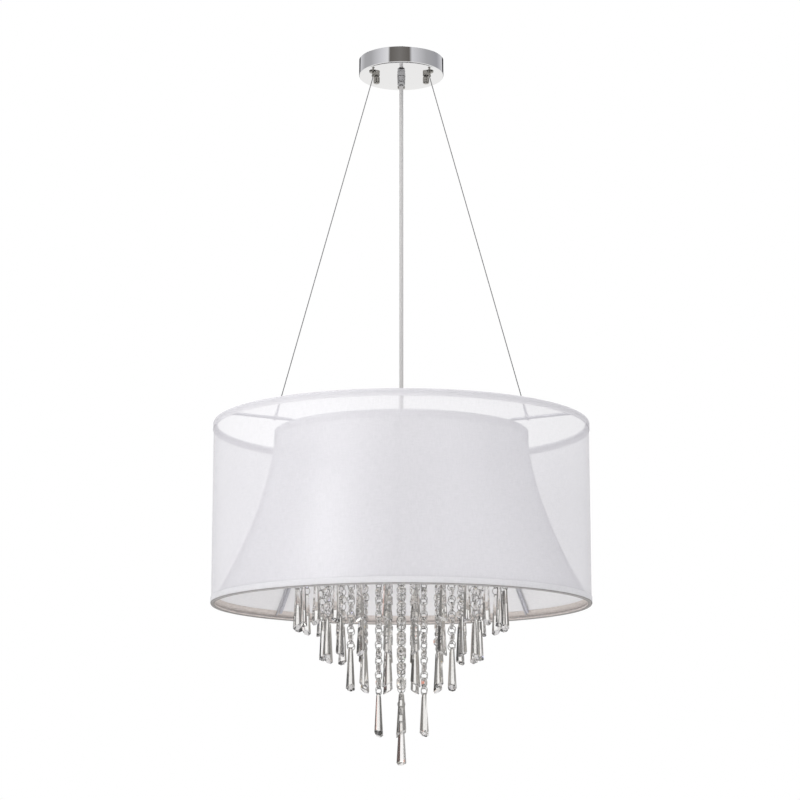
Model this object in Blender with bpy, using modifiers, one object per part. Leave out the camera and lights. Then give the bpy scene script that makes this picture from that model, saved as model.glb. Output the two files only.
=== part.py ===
"""Drum chandelier: a sheer drum shade round a bell shade, on three steel cables, with 61 crystal strands.

Metres, +Z up. The origin is on the ceiling, at the middle of the mounting strap. The front faces -Y.
"""

import math

import bmesh
import bpy
from mathutils import Euler, Matrix, Vector

OBJECT_NAME = "drum_chandelier"

# Clearances and cuts
seat_gap = 0.0003
weld_share = 0.03
cut_overrun = 0.002

# The drum's top, measured down from the ceiling, and its height
drum_top_drop = 0.572
drum_height = 0.270

# Outer drum shade and its trim tapes
drum_radius = 0.2794
drum_wall = 0.0006
tape_height = 0.011
tape_thickness = 0.0006
tape_lip = 0.0005

# Bell shade inside the drum, its radius falling away from the bottom as a power of the height
bell_top_radius = 0.1888
bell_wall = 0.0006
bell_top_lip = 0.0005
bell_curve_power = 1.7
bell_side_gap = 0.001

# Wire rings, ribs and arms of the shade frame
outer_ring_wire_radius = 0.002
inner_ring_wire_radius = 0.00175
rib_wire_radius = 0.00125
arm_wire_radius = 0.00225
outer_ring_drop = 0.004
arm_leg_depth = 0.054
arm_inward_drop = 0.018
arm_bend_radius = 0.010

# Canopy, mounting strap and what fastens them
canopy_radius = 0.065
canopy_height = 0.026
canopy_wall = 0.001
canopy_edge_radius = 0.0015
strap_length = 0.110
strap_width = 0.022
strap_thickness = 0.0015
strap_joggle = 0.004
strap_joggle_start = 0.025
strap_joggle_run = 0.005
strap_slot_place = 0.014
strap_slot_length = 0.012
strap_slot_width = 0.005
stud_spread = 0.038
stud_radius = 0.002
stud_in_nut = 0.007
nut_radius = 0.00485
nut_length = 0.0105
nut_chamfer = 0.001
nut_bore_depth = 0.008

# Power cord, its grip and the terminal block
cord_radius = 0.003
cord_bend_radius = 0.007
cord_point_share = 6
grip_radius = 0.00615
grip_length = 0.015
grip_chamfer = 0.002
grip_shank_radius = 0.0048
grip_thread_past_nut = 0.001
locknut_corner_radius = 0.0085
locknut_height = 0.003
block_width = 0.030
block_depth = 0.016
block_height = 0.016
block_place = 0.018
block_edge = 0.001
wire_port_radius = 0.002
wire_port_spread = 0.009
wire_port_depth = 0.005

# Suspension cables, their grippers on the canopy and their hooks on the arms
cable_radius = 0.00075
cable_circle_radius = 0.050
gripper_barrel_radius = 0.0038
gripper_barrel_height = 0.0125
gripper_nut_radius = 0.0065
gripper_nut_height = 0.003
gripper_flange_radius = 0.006
gripper_flange_height = 0.0015
gripper_stub_radius = 0.0015
gripper_stub_length = 0.004
gripper_bead_radius = 0.0021
gripper_bead_length = 0.003
cable_tail = 0.003
hook_circle_radius = 0.2107
hook_eye_radius = 0.0047
hook_wire_radius = 0.0009
sleeve_radius = 0.0018
sleeve_length = 0.013
sleeve_bore_depth = 0.009

# Lamp hub, lampholders and bulbs
hub_radius = 0.022
hub_height = 0.018
hub_chamfer = 0.002
cord_socket_depth = 0.005
lampholder_length = 0.040
lampholder_base_radius = 0.012
lampholder_body_radius = 0.017
lampholder_rim_radius = 0.019
lampholder_rim_length = 0.008
lampholder_shoulder = 0.010
lamp_cap_radius = 0.013
lamp_cap_length = 0.024
lamp_contact_radius = 0.005
lamp_contact_length = 0.003
bulb_radius = 0.030
bulb_length = 0.084
bulb_neck_radius = 0.0125

# Strand frame: stem, boss, cross pin, spokes and rings, its heights measured up from the drum's bottom
strand_plane_height = 0.0548
stem_radius = 0.005
boss_radius = 0.012
boss_bottom_height = 0.0535
boss_height = 0.017
boss_recess_radius = 0.009
boss_recess_depth = 0.0115
pin_radius = 0.0012
pin_height = 0.0578
frame_wire_radius = 0.0015
spoke_length = 0.157
spoke_lift_height = 0.002

# Crystal strands. Every tier's circle is a whole number of times the first one's
first_tier_radius = 0.0383
octagon_half_height = 0.007
octagon_flat_half = 0.0029
octagon_thickness_share = 0.4
jump_ring_radius = 0.0054
jump_ring_wire = 0.0007
link_overlap_length = 0.0021
link_wire_radius = 0.0008
prism_length = 0.0625
prism_top_radius = 0.004
prism_foot_radius = 0.0076
prism_shoulder_height = 0.004
prism_shoulder_radius = 0.0018
prism_cut_height = 0.008
prism_thickness_share = 0.85

# Counts, and the angle past which an edge stays sharp
sharp_angle_deg = 35
round_segments = 36
small_round_segments = 12
fine_round_segments = 8
lamp_segments = 12
hexagon_sides = 6
wire_sides = 4
jump_ring_sides = 3
crystal_corners = 4
outer_crystal_corners = 3
cord_bevel_segments = 2
wire_bevel_segments = 1
cord_bend_steps = 5
arm_bend_steps = 4
bulb_steps = 4
bulb_step_deg = 30
bell_levels = 4
rib_levels = 7
cable_angles_deg = {"left": -150.0, "right": -30.0, "back": 90.0}
rib_angles_deg = {"front_right": -45.0, "back_right": 45.0, "back_left": 135.0, "front_left": -135.0}
lamp_angles_deg = {"front": -90.0, "right": 30.0, "left": 150.0}
spoke_count = 6
frame_ring_sides_per_strand = 3
hidden_octagons = 4
# Each tier of strands: name, strands in it, its first strand's angle, octagons on each strand
strand_tiers = (
    ("middle", 1, 0.0, 10),
    ("first", 6, 30.0, 8),
    ("second", 12, 15.0, 5),
    ("third", 18, 0.0, 3),
    ("fourth", 24, 7.5, 1),
)
linked_tiers = 2
hinged_tiers = 3
hung_ring_sides = {3: 36, 4: 24}

# Sizes and heights worked out from the ones above
weld_distance = seat_gap * weld_share
drum_top = -drum_top_drop
drum_bottom = drum_top - drum_height
canopy_bottom = -canopy_height
canopy_floor = canopy_bottom + canopy_wall
outer_ring_circle = drum_radius - drum_wall - seat_gap - outer_ring_wire_radius
outer_ring_height = drum_top - outer_ring_drop
bottom_ring_height = drum_bottom + outer_ring_wire_radius + tape_lip
arm_height = outer_ring_height - outer_ring_wire_radius - seat_gap - arm_wire_radius
inner_ring_circle = bell_top_radius - bell_wall - seat_gap - inner_ring_wire_radius
inner_ring_height = arm_height - arm_wire_radius - seat_gap - inner_ring_wire_radius
arm_leg_circle = inner_ring_circle - inner_ring_wire_radius - seat_gap - arm_wire_radius
bell_top = inner_ring_height + inner_ring_wire_radius - bell_top_lip
bell_bottom = bottom_ring_height + outer_ring_wire_radius + seat_gap
bell_bottom_radius = drum_radius - drum_wall - bell_side_gap
hub_height_centre = arm_height - arm_leg_depth - arm_inward_drop
hub_top = hub_height_centre + hub_height / 2
hub_bottom = hub_height_centre - hub_height / 2
hub_flat_radius = hub_radius * math.cos(math.pi / small_round_segments)
strand_plane = drum_bottom + strand_plane_height
spoke_level = strand_plane + spoke_lift_height
hung_ring_level = spoke_level - 2 * frame_wire_radius - seat_gap
pin_level = drum_bottom + pin_height
boss_bottom = drum_bottom + boss_bottom_height


# Scene and helpers

def clear_scene():
    for obj in list(bpy.data.objects):
        bpy.data.objects.remove(obj, do_unlink=True)


def new_collection(name):
    collection = bpy.data.collections.new(name)
    bpy.context.scene.collection.children.link(collection)
    return collection


clear_scene()
parts = new_collection(OBJECT_NAME)
cutters = new_collection(OBJECT_NAME + "_cutters")


def principled(name, colour, roughness, metallic=0.0, alpha=1.0, transmission=0.0):
    """A plain material of one colour."""
    material = bpy.data.materials.new(name)
    material.use_nodes = True
    shader = material.node_tree.nodes["Principled BSDF"]
    shader.inputs["Base Color"].default_value = (*colour, 1.0)
    shader.inputs["Roughness"].default_value = roughness
    shader.inputs["Metallic"].default_value = metallic
    shader.inputs["Alpha"].default_value = alpha
    shader.inputs["Transmission Weight"].default_value = transmission
    return material


chrome = principled("chrome", (0.80, 0.80, 0.80), 0.08, metallic=1.0)
steel = principled("steel", (0.45, 0.45, 0.46), 0.30, metallic=1.0)
zinc_steel = principled("zinc_steel", (0.60, 0.60, 0.58), 0.40, metallic=1.0)
sheer_fabric = principled("sheer_fabric", (0.92, 0.92, 0.93), 0.70, alpha=0.35)
shade_fabric = principled("shade_fabric", (0.88, 0.88, 0.90), 0.80)
trim_fabric = principled("trim_fabric", (0.80, 0.79, 0.79), 0.85)
clear_flex = principled("clear_flex", (0.78, 0.79, 0.80), 0.25)
white_plastic = principled("white_plastic", (0.85, 0.85, 0.84), 0.45)
frosted_glass = principled("frosted_glass", (0.94, 0.94, 0.92), 0.35)
crystal = principled("crystal", (0.95, 0.96, 0.97), 0.02, transmission=1.0)


def polar(radius, angle, height=0.0):
    """The point at a radius and an angle round the chandelier's axis."""
    return Vector((radius * math.cos(angle), radius * math.sin(angle), height))


def add_object(name, data, material, collection=None):
    obj = bpy.data.objects.new(name, data)
    (collection or parts).objects.link(obj)
    if material:
        data.materials.append(material)
    if obj.type == "MESH":
        data.shade_smooth()
        data.set_sharp_from_angle(angle=math.radians(sharp_angle_deg))
    return obj


def mesh_from(bm, name):
    mesh = bpy.data.meshes.new(name)
    bm.to_mesh(mesh)
    bm.free()
    return mesh


def turned(name, profile, segments, material, closed=False, collection=None):
    """A profile of radius and height pairs, its outer side top to bottom, turned about Z."""
    bm = bmesh.new()
    verts = [bm.verts.new((radius, 0.0, height)) for radius, height in profile]
    for first, second in zip(verts, verts[1:]):
        bm.edges.new((first, second))
    if closed:
        bm.edges.new((verts[-1], verts[0]))
    obj = add_object(name, mesh_from(bm, name), material, collection)
    screw = obj.modifiers.new("Turn", "SCREW")
    screw.axis = "Z"
    screw.steps = segments
    screw.render_steps = segments
    screw.use_merge_vertices = True
    screw.merge_threshold = weld_distance
    return obj


def wire(name, points, radius, material, bevel_segments=wire_bevel_segments, collection=None):
    """A round wire through the points, with filled caps."""
    data = bpy.data.curves.new(name, "CURVE")
    data.dimensions = "3D"
    data.bevel_depth = radius
    data.bevel_resolution = bevel_segments
    data.use_fill_caps = True
    spline = data.splines.new("POLY")
    spline.points.add(len(points) - 1)
    for spot, point in zip(spline.points, points):
        spot.co = Vector(point).to_4d()
    return add_object(name, data, material, collection)


def ring_mesh(circle, wire_radius, segments, sides, turn=0.0, height=0.0):
    """A torus lying flat, with a corner of its polygon at the turn angle."""
    bpy.ops.mesh.primitive_torus_add(
        major_segments=segments,
        minor_segments=sides,
        major_radius=circle,
        minor_radius=wire_radius,
        location=(0.0, 0.0, 0.0),
    )
    made = bpy.context.object
    mesh = made.data
    bpy.data.objects.remove(made, do_unlink=True)
    mesh.transform(Matrix.Translation((0.0, 0.0, height)) @ Matrix.Rotation(turn, 4, "Z"))
    return mesh


def joined_mesh(name, meshes):
    """One mesh holding several bodies that don't meet."""
    bm = bmesh.new()
    for mesh in meshes:
        bm.from_mesh(mesh)
    return mesh_from(bm, name)


def as_cutter(obj):
    obj.hide_render = True
    obj.display_type = "WIRE"
    return obj


def boolean(obj, other, operation):
    """Join or cut the object with another, which becomes a cutter."""
    modifier = obj.modifiers.new(operation.title(), "BOOLEAN")
    modifier.operation = operation
    modifier.solver = "EXACT"
    modifier.object = as_cutter(other)
    return obj


def upright_cylinder(name, radius, low, high, place, segments):
    """An upright cylinder among the cutters."""
    bm = bmesh.new()
    bmesh.ops.create_cone(
        bm,
        cap_ends=True,
        segments=segments,
        radius1=radius,
        radius2=radius,
        depth=high - low,
        matrix=Matrix.Translation((place[0], place[1], (low + high) / 2)),
    )
    return add_object(name, mesh_from(bm, name), None, cutters)


def hole_cutter(name, radius, low, high, place=(0.0, 0.0), segments=small_round_segments):
    """An upright cylinder whose flats, not its corners, lie at the radius."""
    return upright_cylinder(name, radius / math.cos(math.pi / segments), low, high, place, segments)


def bent_path(corners, bend_radii, steps):
    """A path through the corners, with an arc of its bend radius at each inner corner."""
    path = [corners[0]]
    for before, corner, after, bend_radius in zip(corners, corners[1:], corners[2:], bend_radii):
        inward = (before - corner).normalized()
        outward = (after - corner).normalized()
        half_angle = inward.angle(outward) / 2
        setback = bend_radius / math.tan(half_angle)
        middle = corner + (inward + outward).normalized() * bend_radius / math.sin(half_angle)
        start = (corner + inward * setback - middle).normalized()
        end = (corner + outward * setback - middle).normalized()
        for step in range(steps + 1):
            path.append(middle + start.slerp(end, step / steps).normalized() * bend_radius)
    path.append(corners[-1])
    return path


# Mounting strap with its two studs

def make_mounting_strap():
    half = strap_length / 2
    outer = strap_joggle_start + strap_joggle_run
    upper = (
        (-half, -strap_joggle),
        (-outer, -strap_joggle),
        (-strap_joggle_start, 0.0),
        (strap_joggle_start, 0.0),
        (outer, -strap_joggle),
        (half, -strap_joggle),
    )
    lower = [(along, height - strap_thickness) for along, height in reversed(upper)]
    bm = bmesh.new()
    face = bm.faces.new([bm.verts.new((x, -strap_width / 2, z)) for x, z in (*upper, *lower)])
    grown = bmesh.ops.extrude_face_region(bm, geom=[face])
    moved = [item for item in grown["geom"] if isinstance(item, bmesh.types.BMVert)]
    bmesh.ops.translate(bm, verts=moved, vec=(0.0, strap_width, 0.0))
    bmesh.ops.recalc_face_normals(bm, faces=bm.faces)
    strap = add_object("mounting_strap", mesh_from(bm, "mounting_strap"), zinc_steel)
    slot_low = -strap_thickness - cut_overrun
    for side in (-1, 1):
        bpy.ops.mesh.primitive_cube_add(size=1.0, location=(0.0, 0.0, 0.0))
        made = bpy.context.object
        mesh = made.data
        bpy.data.objects.remove(made, do_unlink=True)
        size = (strap_slot_length, strap_slot_width, cut_overrun - slot_low, 1.0)
        mesh.transform(Matrix.Diagonal(size))
        mesh.transform(Matrix.Translation((side * strap_slot_place, 0.0, (slot_low + cut_overrun) / 2)))
        boolean(strap, add_object("screw_slot", mesh, None, cutters), "DIFFERENCE")
    stud_low = canopy_bottom - seat_gap - stud_in_nut
    for side in (-1, 1):
        stud_top = -strap_joggle - strap_thickness / 2
        place = (side * stud_spread, 0.0)
        stud = upright_cylinder("stud", stud_radius, stud_low, stud_top, place, fine_round_segments)
        boolean(strap, stud, "UNION")
    return strap


# Knurled cap nuts that hold the canopy up

def make_knurled_nut(name, side):
    profile = (
        (0.0, -nut_bore_depth),
        (stud_radius + seat_gap, -nut_bore_depth),
        (stud_radius + seat_gap, 0.0),
        (nut_radius - nut_chamfer, 0.0),
        (nut_radius, -nut_chamfer),
        (nut_radius, -nut_length + nut_chamfer),
        (nut_radius - nut_chamfer, -nut_length),
        (0.0, -nut_length),
    )
    nut = turned(name, profile, small_round_segments, chrome)
    nut.location = (side * stud_spread, 0.0, canopy_bottom - seat_gap)
    return nut


# Canopy pan, open to the ceiling

def make_canopy():
    inner = canopy_radius - canopy_wall
    profile = (
        (0.0, canopy_floor),
        (inner, canopy_floor),
        (inner, 0.0),
        (canopy_radius, 0.0),
        (canopy_radius, canopy_bottom + canopy_edge_radius),
        (canopy_radius - canopy_edge_radius, canopy_bottom),
        (0.0, canopy_bottom),
    )
    canopy = turned("canopy", profile, round_segments, chrome)
    low = canopy_bottom - cut_overrun
    high = canopy_floor + cut_overrun
    holes = [(grip_shank_radius + seat_gap, (0.0, 0.0))]
    holes += [(stud_radius + seat_gap, (side * stud_spread, 0.0)) for side in (-1, 1)]
    for degrees in cable_angles_deg.values():
        place = polar(cable_circle_radius, math.radians(degrees))
        holes.append((gripper_barrel_radius + seat_gap, (place.x, place.y)))
    for radius, place in holes:
        cutter = hole_cutter("canopy_hole", radius, low, high, place, fine_round_segments)
        boolean(canopy, cutter, "DIFFERENCE")
    return canopy


# Cord grip, its locknut and the terminal block

def grip_thread_top():
    return canopy_floor + seat_gap + locknut_height + grip_thread_past_nut


def make_cord_grip():
    bore = cord_radius + seat_gap
    shoulder = canopy_bottom - seat_gap
    foot = shoulder - grip_length
    profile = (
        (bore, grip_thread_top()),
        (grip_shank_radius, grip_thread_top()),
        (grip_shank_radius, shoulder),
        (grip_radius, shoulder),
        (grip_radius, foot + grip_chamfer),
        (grip_radius - grip_chamfer, foot),
        (bore, foot),
    )
    return turned("cord_grip", profile, small_round_segments, chrome, closed=True)


def make_grip_locknut():
    low = canopy_floor + seat_gap
    high = low + locknut_height
    bm = bmesh.new()
    bmesh.ops.create_cone(
        bm,
        cap_ends=True,
        segments=hexagon_sides,
        radius1=locknut_corner_radius,
        radius2=locknut_corner_radius,
        depth=locknut_height,
        matrix=Matrix.Translation((0.0, 0.0, (low + high) / 2)),
    )
    nut = add_object("grip_locknut", mesh_from(bm, "grip_locknut"), zinc_steel)
    bore = hole_cutter("locknut_bore", grip_shank_radius + seat_gap, low - cut_overrun, high + cut_overrun)
    return boolean(nut, bore, "DIFFERENCE")


def make_terminal_block():
    low = canopy_floor + seat_gap
    bm = bmesh.new()
    bmesh.ops.create_cube(bm, size=1.0)
    bmesh.ops.scale(bm, verts=bm.verts, vec=(block_width, block_depth, block_height))
    block = add_object("terminal_block", mesh_from(bm, "terminal_block"), white_plastic)
    block.location = (0.0, block_place + block_depth / 2, low + block_height / 2)
    bevel = block.modifiers.new("Edges", "BEVEL")
    bevel.width = block_edge
    bevel.segments = 1
    bevel.limit_method = "ANGLE"
    for column in (-1, 0, 1):
        place = (column * wire_port_spread, block_place + block_depth / 2)
        port_low = low + block_height - wire_port_depth
        port_high = low + block_height + cut_overrun
        port = hole_cutter("wire_port", wire_port_radius, port_low, port_high, place, fine_round_segments)
        boolean(block, port, "DIFFERENCE")
    return block


# Power cord, from the terminal block through the grip straight down to the lamp hub

def cord_path():
    over = grip_thread_top() + cord_bend_radius
    corners = [
        Vector((0.0, block_place - seat_gap, over)),
        Vector((0.0, 0.0, over)),
        Vector((0.0, 0.0, hub_top - cord_socket_depth + seat_gap)),
    ]
    bent = bent_path(corners, [cord_bend_radius], cord_bend_steps)
    straight = bent[-2] - bent[-1]
    count = round(straight.length / (cord_point_share * cord_radius))
    down = [bent[-1] + straight * (count - step) / count for step in range(1, count)]
    return bent[:-1] + down + [bent[-1]]


def make_power_cord():
    return wire("power_cord", cord_path(), cord_radius, clear_flex, bevel_segments=cord_bevel_segments)


# Cable grippers in the canopy, with their nuts run up on the barrel

def make_cable_gripper(name, angle):
    bore = cable_radius + seat_gap
    shoulder = canopy_bottom - seat_gap
    nut_low = canopy_floor + seat_gap
    nut_high = nut_low + gripper_nut_height
    flange_foot = shoulder - gripper_flange_height
    stub_foot = flange_foot - gripper_stub_length
    profile = (
        (bore, canopy_floor + gripper_barrel_height),
        (gripper_barrel_radius, canopy_floor + gripper_barrel_height),
        (gripper_barrel_radius, nut_high),
        (gripper_nut_radius, nut_high),
        (gripper_nut_radius, nut_low),
        (gripper_barrel_radius, nut_low),
        (gripper_barrel_radius, shoulder),
        (gripper_flange_radius, shoulder),
        (gripper_flange_radius, flange_foot),
        (gripper_stub_radius, flange_foot),
        (gripper_stub_radius, stub_foot),
        (gripper_bead_radius, stub_foot - gripper_bead_length / 2),
        (gripper_stub_radius, stub_foot - gripper_bead_length),
        (bore, stub_foot - gripper_bead_length),
    )
    gripper = turned(name, profile, fine_round_segments, chrome, closed=True)
    gripper.location = polar(cable_circle_radius, angle)
    return gripper


# Suspension cables, each straight from its gripper to its hook on an arm

def cable_exit(angle):
    foot = canopy_bottom - seat_gap - gripper_flange_height - gripper_stub_length - gripper_bead_length
    return polar(cable_circle_radius, angle, foot - cable_radius)


def hook_frame(angle):
    """The hook's eye centre, the way up along the cable and the way round the drum."""
    arm_point = polar(hook_circle_radius, angle, arm_height)
    up = (cable_exit(angle) - arm_point).normalized()
    around = polar(1.0, angle + math.pi / 2)
    arm_section = arm_wire_radius / up.z
    eye = arm_point + up * (hook_eye_radius - hook_wire_radius - arm_section - seat_gap)
    return eye, up, around


def sleeve_foot(angle):
    eye, up, around = hook_frame(angle)
    return eye + up * (hook_eye_radius - hook_wire_radius / 2)


def make_suspension_cable(name, angle):
    eye, up, around = hook_frame(angle)
    top = polar(cable_circle_radius, angle, canopy_floor + gripper_barrel_height + cable_tail)
    end = sleeve_foot(angle) + up * (sleeve_length - sleeve_bore_depth + seat_gap)
    return wire(name, [top, cable_exit(angle), end], cable_radius, steel, bevel_segments=cord_bevel_segments)


def make_cable_hook(name, angle):
    eye, up, around = hook_frame(angle)
    bore = cable_radius + seat_gap
    profile = (
        (0.0, sleeve_length - sleeve_bore_depth),
        (bore, sleeve_length - sleeve_bore_depth),
        (bore, sleeve_length),
        (sleeve_radius, sleeve_length),
        (sleeve_radius, 0.0),
        (0.0, 0.0),
    )
    hook = turned(name, profile, fine_round_segments, steel)
    basis = Matrix((around, up.cross(around), up)).transposed()
    hook.matrix_world = Matrix.Translation(sleeve_foot(angle)) @ basis.to_4x4()
    ring = ring_mesh(hook_eye_radius, hook_wire_radius, fine_round_segments, wire_sides)
    ring.transform(Matrix.Rotation(math.pi / 2, 4, "X"))
    loop = add_object("hook_eye", ring, None, cutters)
    loop.matrix_world = Matrix.Translation(eye) @ basis.to_4x4()
    return boolean(hook, loop, "UNION")


# Wire rings, arms and ribs of the shade frame

def make_wire_rings():
    for name, circle, height, radius in (
        ("outer_top_ring", outer_ring_circle, outer_ring_height, outer_ring_wire_radius),
        ("inner_top_ring", inner_ring_circle, inner_ring_height, inner_ring_wire_radius),
        ("bottom_ring", outer_ring_circle, bottom_ring_height, outer_ring_wire_radius),
    ):
        add_object(name, ring_mesh(circle, radius, round_segments, wire_sides, height=height), steel)


def make_arm(name, angle):
    leg_foot = arm_height - arm_leg_depth
    corners = [
        polar(drum_radius - drum_wall - 2 * seat_gap, angle, arm_height),
        polar(arm_leg_circle, angle, arm_height),
        polar(arm_leg_circle, angle, leg_foot),
        polar(hub_flat_radius + seat_gap, angle, hub_height_centre),
    ]
    bend_over_ring = arm_wire_radius + seat_gap + inner_ring_wire_radius
    path = bent_path(corners, [bend_over_ring, arm_bend_radius], arm_bend_steps)
    return wire(name, path, arm_wire_radius, steel)


def bell_radius(height):
    """The bell shade's outer radius at a height."""
    fall = (bell_top - height) / (bell_top - bell_bottom)
    return bell_top_radius + (bell_bottom_radius - bell_top_radius) * fall ** bell_curve_power


def bell_heights(low, high, levels):
    return [high + (low - high) * level / levels for level in range(levels + 1)]


def make_rib(name, angle):
    low = bell_bottom + rib_wire_radius
    high = inner_ring_height - inner_ring_wire_radius - seat_gap
    inset = bell_wall + seat_gap + rib_wire_radius
    # A rib lies against the middle of one of the bell's flat faces
    flat_share = math.cos(math.pi / round_segments)
    points = []
    for height in bell_heights(low, high, rib_levels):
        slope = math.atan2(bell_radius(height - inset) - bell_radius(height), inset)
        radius = bell_radius(height) * flat_share - inset / math.cos(slope)
        points.append(polar(radius, angle, height))
    return wire(name, points, rib_wire_radius, steel)


# Shades and trim tapes

def make_outer_shade():
    inner = drum_radius - drum_wall
    profile = ((inner, drum_top), (drum_radius, drum_top), (drum_radius, drum_bottom), (inner, drum_bottom))
    return turned("outer_shade", profile, round_segments, sheer_fabric, closed=True)


def make_inner_shade():
    heights = bell_heights(bell_bottom, bell_top, bell_levels)
    outside = [(bell_radius(height), height) for height in heights]
    inside = [(radius - bell_wall, height) for radius, height in reversed(outside)]
    return turned("inner_shade", outside + inside, round_segments, shade_fabric, closed=True)


def make_tape(name, top):
    inner = drum_radius + seat_gap
    outer = inner + tape_thickness
    foot = top - tape_height
    profile = ((inner, top), (outer, top), (outer, foot), (inner, foot))
    return turned(name, profile, round_segments, trim_fabric, closed=True)


# Lamp hub, lampholders and bulbs

def make_lamp_hub():
    socket_floor = hub_top - cord_socket_depth
    bore = cord_radius + seat_gap
    profile = (
        (0.0, socket_floor),
        (bore, socket_floor),
        (bore, hub_top),
        (hub_radius - hub_chamfer, hub_top),
        (hub_radius, hub_top - hub_chamfer),
        (hub_radius, hub_bottom + hub_chamfer),
        (hub_radius - hub_chamfer, hub_bottom),
        (0.0, hub_bottom),
    )
    hub = turned("lamp_hub", profile, small_round_segments, white_plastic)
    # Half a step round, so that the arms and the lampholders meet its flats
    hub.rotation_euler = (0.0, 0.0, math.pi / small_round_segments)
    return hub


def lamp_axis(name, angle):
    """An empty at the lamp's root on the hub, its Z pointing out along the lamp."""
    empty = bpy.data.objects.new(name, None)
    parts.objects.link(empty)
    empty.location = polar(hub_flat_radius, angle, hub_height_centre)
    empty.rotation_euler = Euler((0.0, math.pi / 2, angle))
    return empty


def make_lampholder(name, axis):
    foot = seat_gap
    tip = foot + lampholder_length
    bore = lamp_cap_radius + seat_gap
    floor = tip - lamp_cap_length - lamp_contact_length - seat_gap
    profile = (
        (0.0, floor),
        (bore, floor),
        (bore, tip),
        (lampholder_rim_radius, tip),
        (lampholder_rim_radius, tip - lampholder_rim_length),
        (lampholder_body_radius, tip - lampholder_rim_length),
        (lampholder_body_radius, foot + lampholder_shoulder),
        (lampholder_base_radius, foot),
        (0.0, foot),
    )
    holder = turned(name, profile, lamp_segments, white_plastic)
    holder.parent = axis
    return holder


def make_bulb(name, axis):
    seat = 2 * seat_gap + lampholder_length
    cap_foot = seat - lamp_cap_length
    globe_centre = seat + bulb_length - bulb_radius
    profile = [(0.0, seat + bulb_length)]
    for step in range(1, bulb_steps + 1):
        turn = math.radians(bulb_step_deg * step)
        profile.append((bulb_radius * math.sin(turn), globe_centre + bulb_radius * math.cos(turn)))
    profile += [
        (bulb_neck_radius, seat),
        (lamp_cap_radius, seat),
        (lamp_cap_radius, cap_foot),
        (lamp_contact_radius, cap_foot - lamp_contact_length),
        (0.0, cap_foot - lamp_contact_length),
    ]
    bulb = turned(name, profile, lamp_segments, frosted_glass)
    bulb.parent = axis
    return bulb


# Crystal strands

def octagon_mesh(height):
    """A flat octagon with cut faces, wide along Y, its centre at the height."""
    profile = (
        (octagon_flat_half, octagon_half_height),
        (octagon_half_height, octagon_flat_half),
        (octagon_half_height, -octagon_flat_half),
        (octagon_flat_half, -octagon_half_height),
    )
    return loft(
        [(radius * octagon_thickness_share, radius, height + rise, 0.0) for radius, rise in profile]
    )


def prism_sections(top, tilt):
    """A hanging prism with a shoulder at its top and a slanted cut at its foot."""
    share = prism_thickness_share
    foot = top - prism_length + prism_cut_height / 2
    return [
        (prism_shoulder_radius * share, prism_shoulder_radius, top, 0.0),
        (prism_top_radius * share, prism_top_radius, top - prism_shoulder_height, 0.0),
        (prism_foot_radius * share, prism_foot_radius, foot, tilt * prism_cut_height / 2),
    ]


def plain_sections(octagons, first_ring, top, foot):
    """Small octagons threaded on a thin link, from its top to its foot."""
    link = link_wire_radius
    sections = [(link, link, top, 0.0)]
    for count in range(octagons):
        centre = first_ring - (count + 0.5) * link_pitch
        sections += [
            (link, link, centre + octagon_half_height, 0.0),
            (octagon_half_height * octagon_thickness_share, octagon_half_height, centre, 0.0),
            (link, link, centre - octagon_half_height, 0.0),
        ]
    return sections + [(link, link, foot, 0.0)]


def loft(sections, corners=crystal_corners):
    """Sections of half depth, half width, height and tilt, joined down the Z axis."""
    bm = bmesh.new()
    loops = []
    for depth, width, height, tilt in sections:
        loop = []
        for corner in range(corners):
            turn = math.tau * corner / corners
            across = math.sin(turn)
            loop.append(bm.verts.new((depth * math.cos(turn), width * across, height + tilt * across)))
        loops.append(loop)
    for upper, lower in zip(loops, loops[1:]):
        for corner in range(corners):
            bm.faces.new((upper[corner - 1], lower[corner - 1], lower[corner], upper[corner]))
    bm.faces.new(loops[0])
    bm.faces.new(list(reversed(loops[-1])))
    return mesh_from(bm, "crystal")


link_pitch = 2 * (octagon_half_height + jump_ring_radius + jump_ring_wire - link_overlap_length)


def jump_ring_mesh(height):
    """An upright open ring in the XZ plane, its corners up and down."""
    half_side = math.pi / hexagon_sides
    mesh = ring_mesh(jump_ring_radius, jump_ring_wire, hexagon_sides, jump_ring_sides, turn=half_side)
    mesh.transform(Matrix.Translation((0.0, 0.0, height)) @ Matrix.Rotation(math.pi / 2, 4, "X"))
    return mesh


def hook_ring_height(bar_radius):
    """The first ring's centre below the axis of the bar that it hangs on."""
    return bar_radius + seat_gap - (jump_ring_radius - jump_ring_wire / 2)


def prism_top(octagons, first_ring):
    return first_ring - octagons * link_pitch - jump_ring_radius - jump_ring_wire + link_overlap_length


def make_linked_strand(name, octagons, bar_radius, place, angle, tilt):
    """A strand with its lower crystals on open rings. It swings about its origin, on the bar's axis."""
    first_ring = hook_ring_height(bar_radius)
    hung = range(hidden_octagons, octagons)
    crystals = [octagon_mesh(first_ring - (count + 0.5) * link_pitch) for count in hung]
    crystals.append(loft(prism_sections(prism_top(octagons, first_ring), tilt)))
    link_foot = first_ring - hidden_octagons * link_pitch + jump_ring_radius
    link_top = first_ring - jump_ring_radius
    crystals.append(loft(plain_sections(hidden_octagons, first_ring, link_top, link_foot)))
    ring_counts = [0, *hung, octagons]
    rings = [jump_ring_mesh(first_ring - count * link_pitch) for count in ring_counts]
    crystal_data = joined_mesh(name, crystals)
    return hang_strand(name, crystal_data, joined_mesh(name + "_rings", rings), place, angle)


def hang_strand(name, crystal_data, ring_data, place, angle):
    strand = add_object(name, crystal_data, crystal)
    rings = add_object(name + "_rings", ring_data, None, cutters)
    for obj in (strand, rings):
        obj.location = place
        obj.rotation_euler = (0.0, 0.0, angle)
    return boolean(strand, rings, "UNION")


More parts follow.
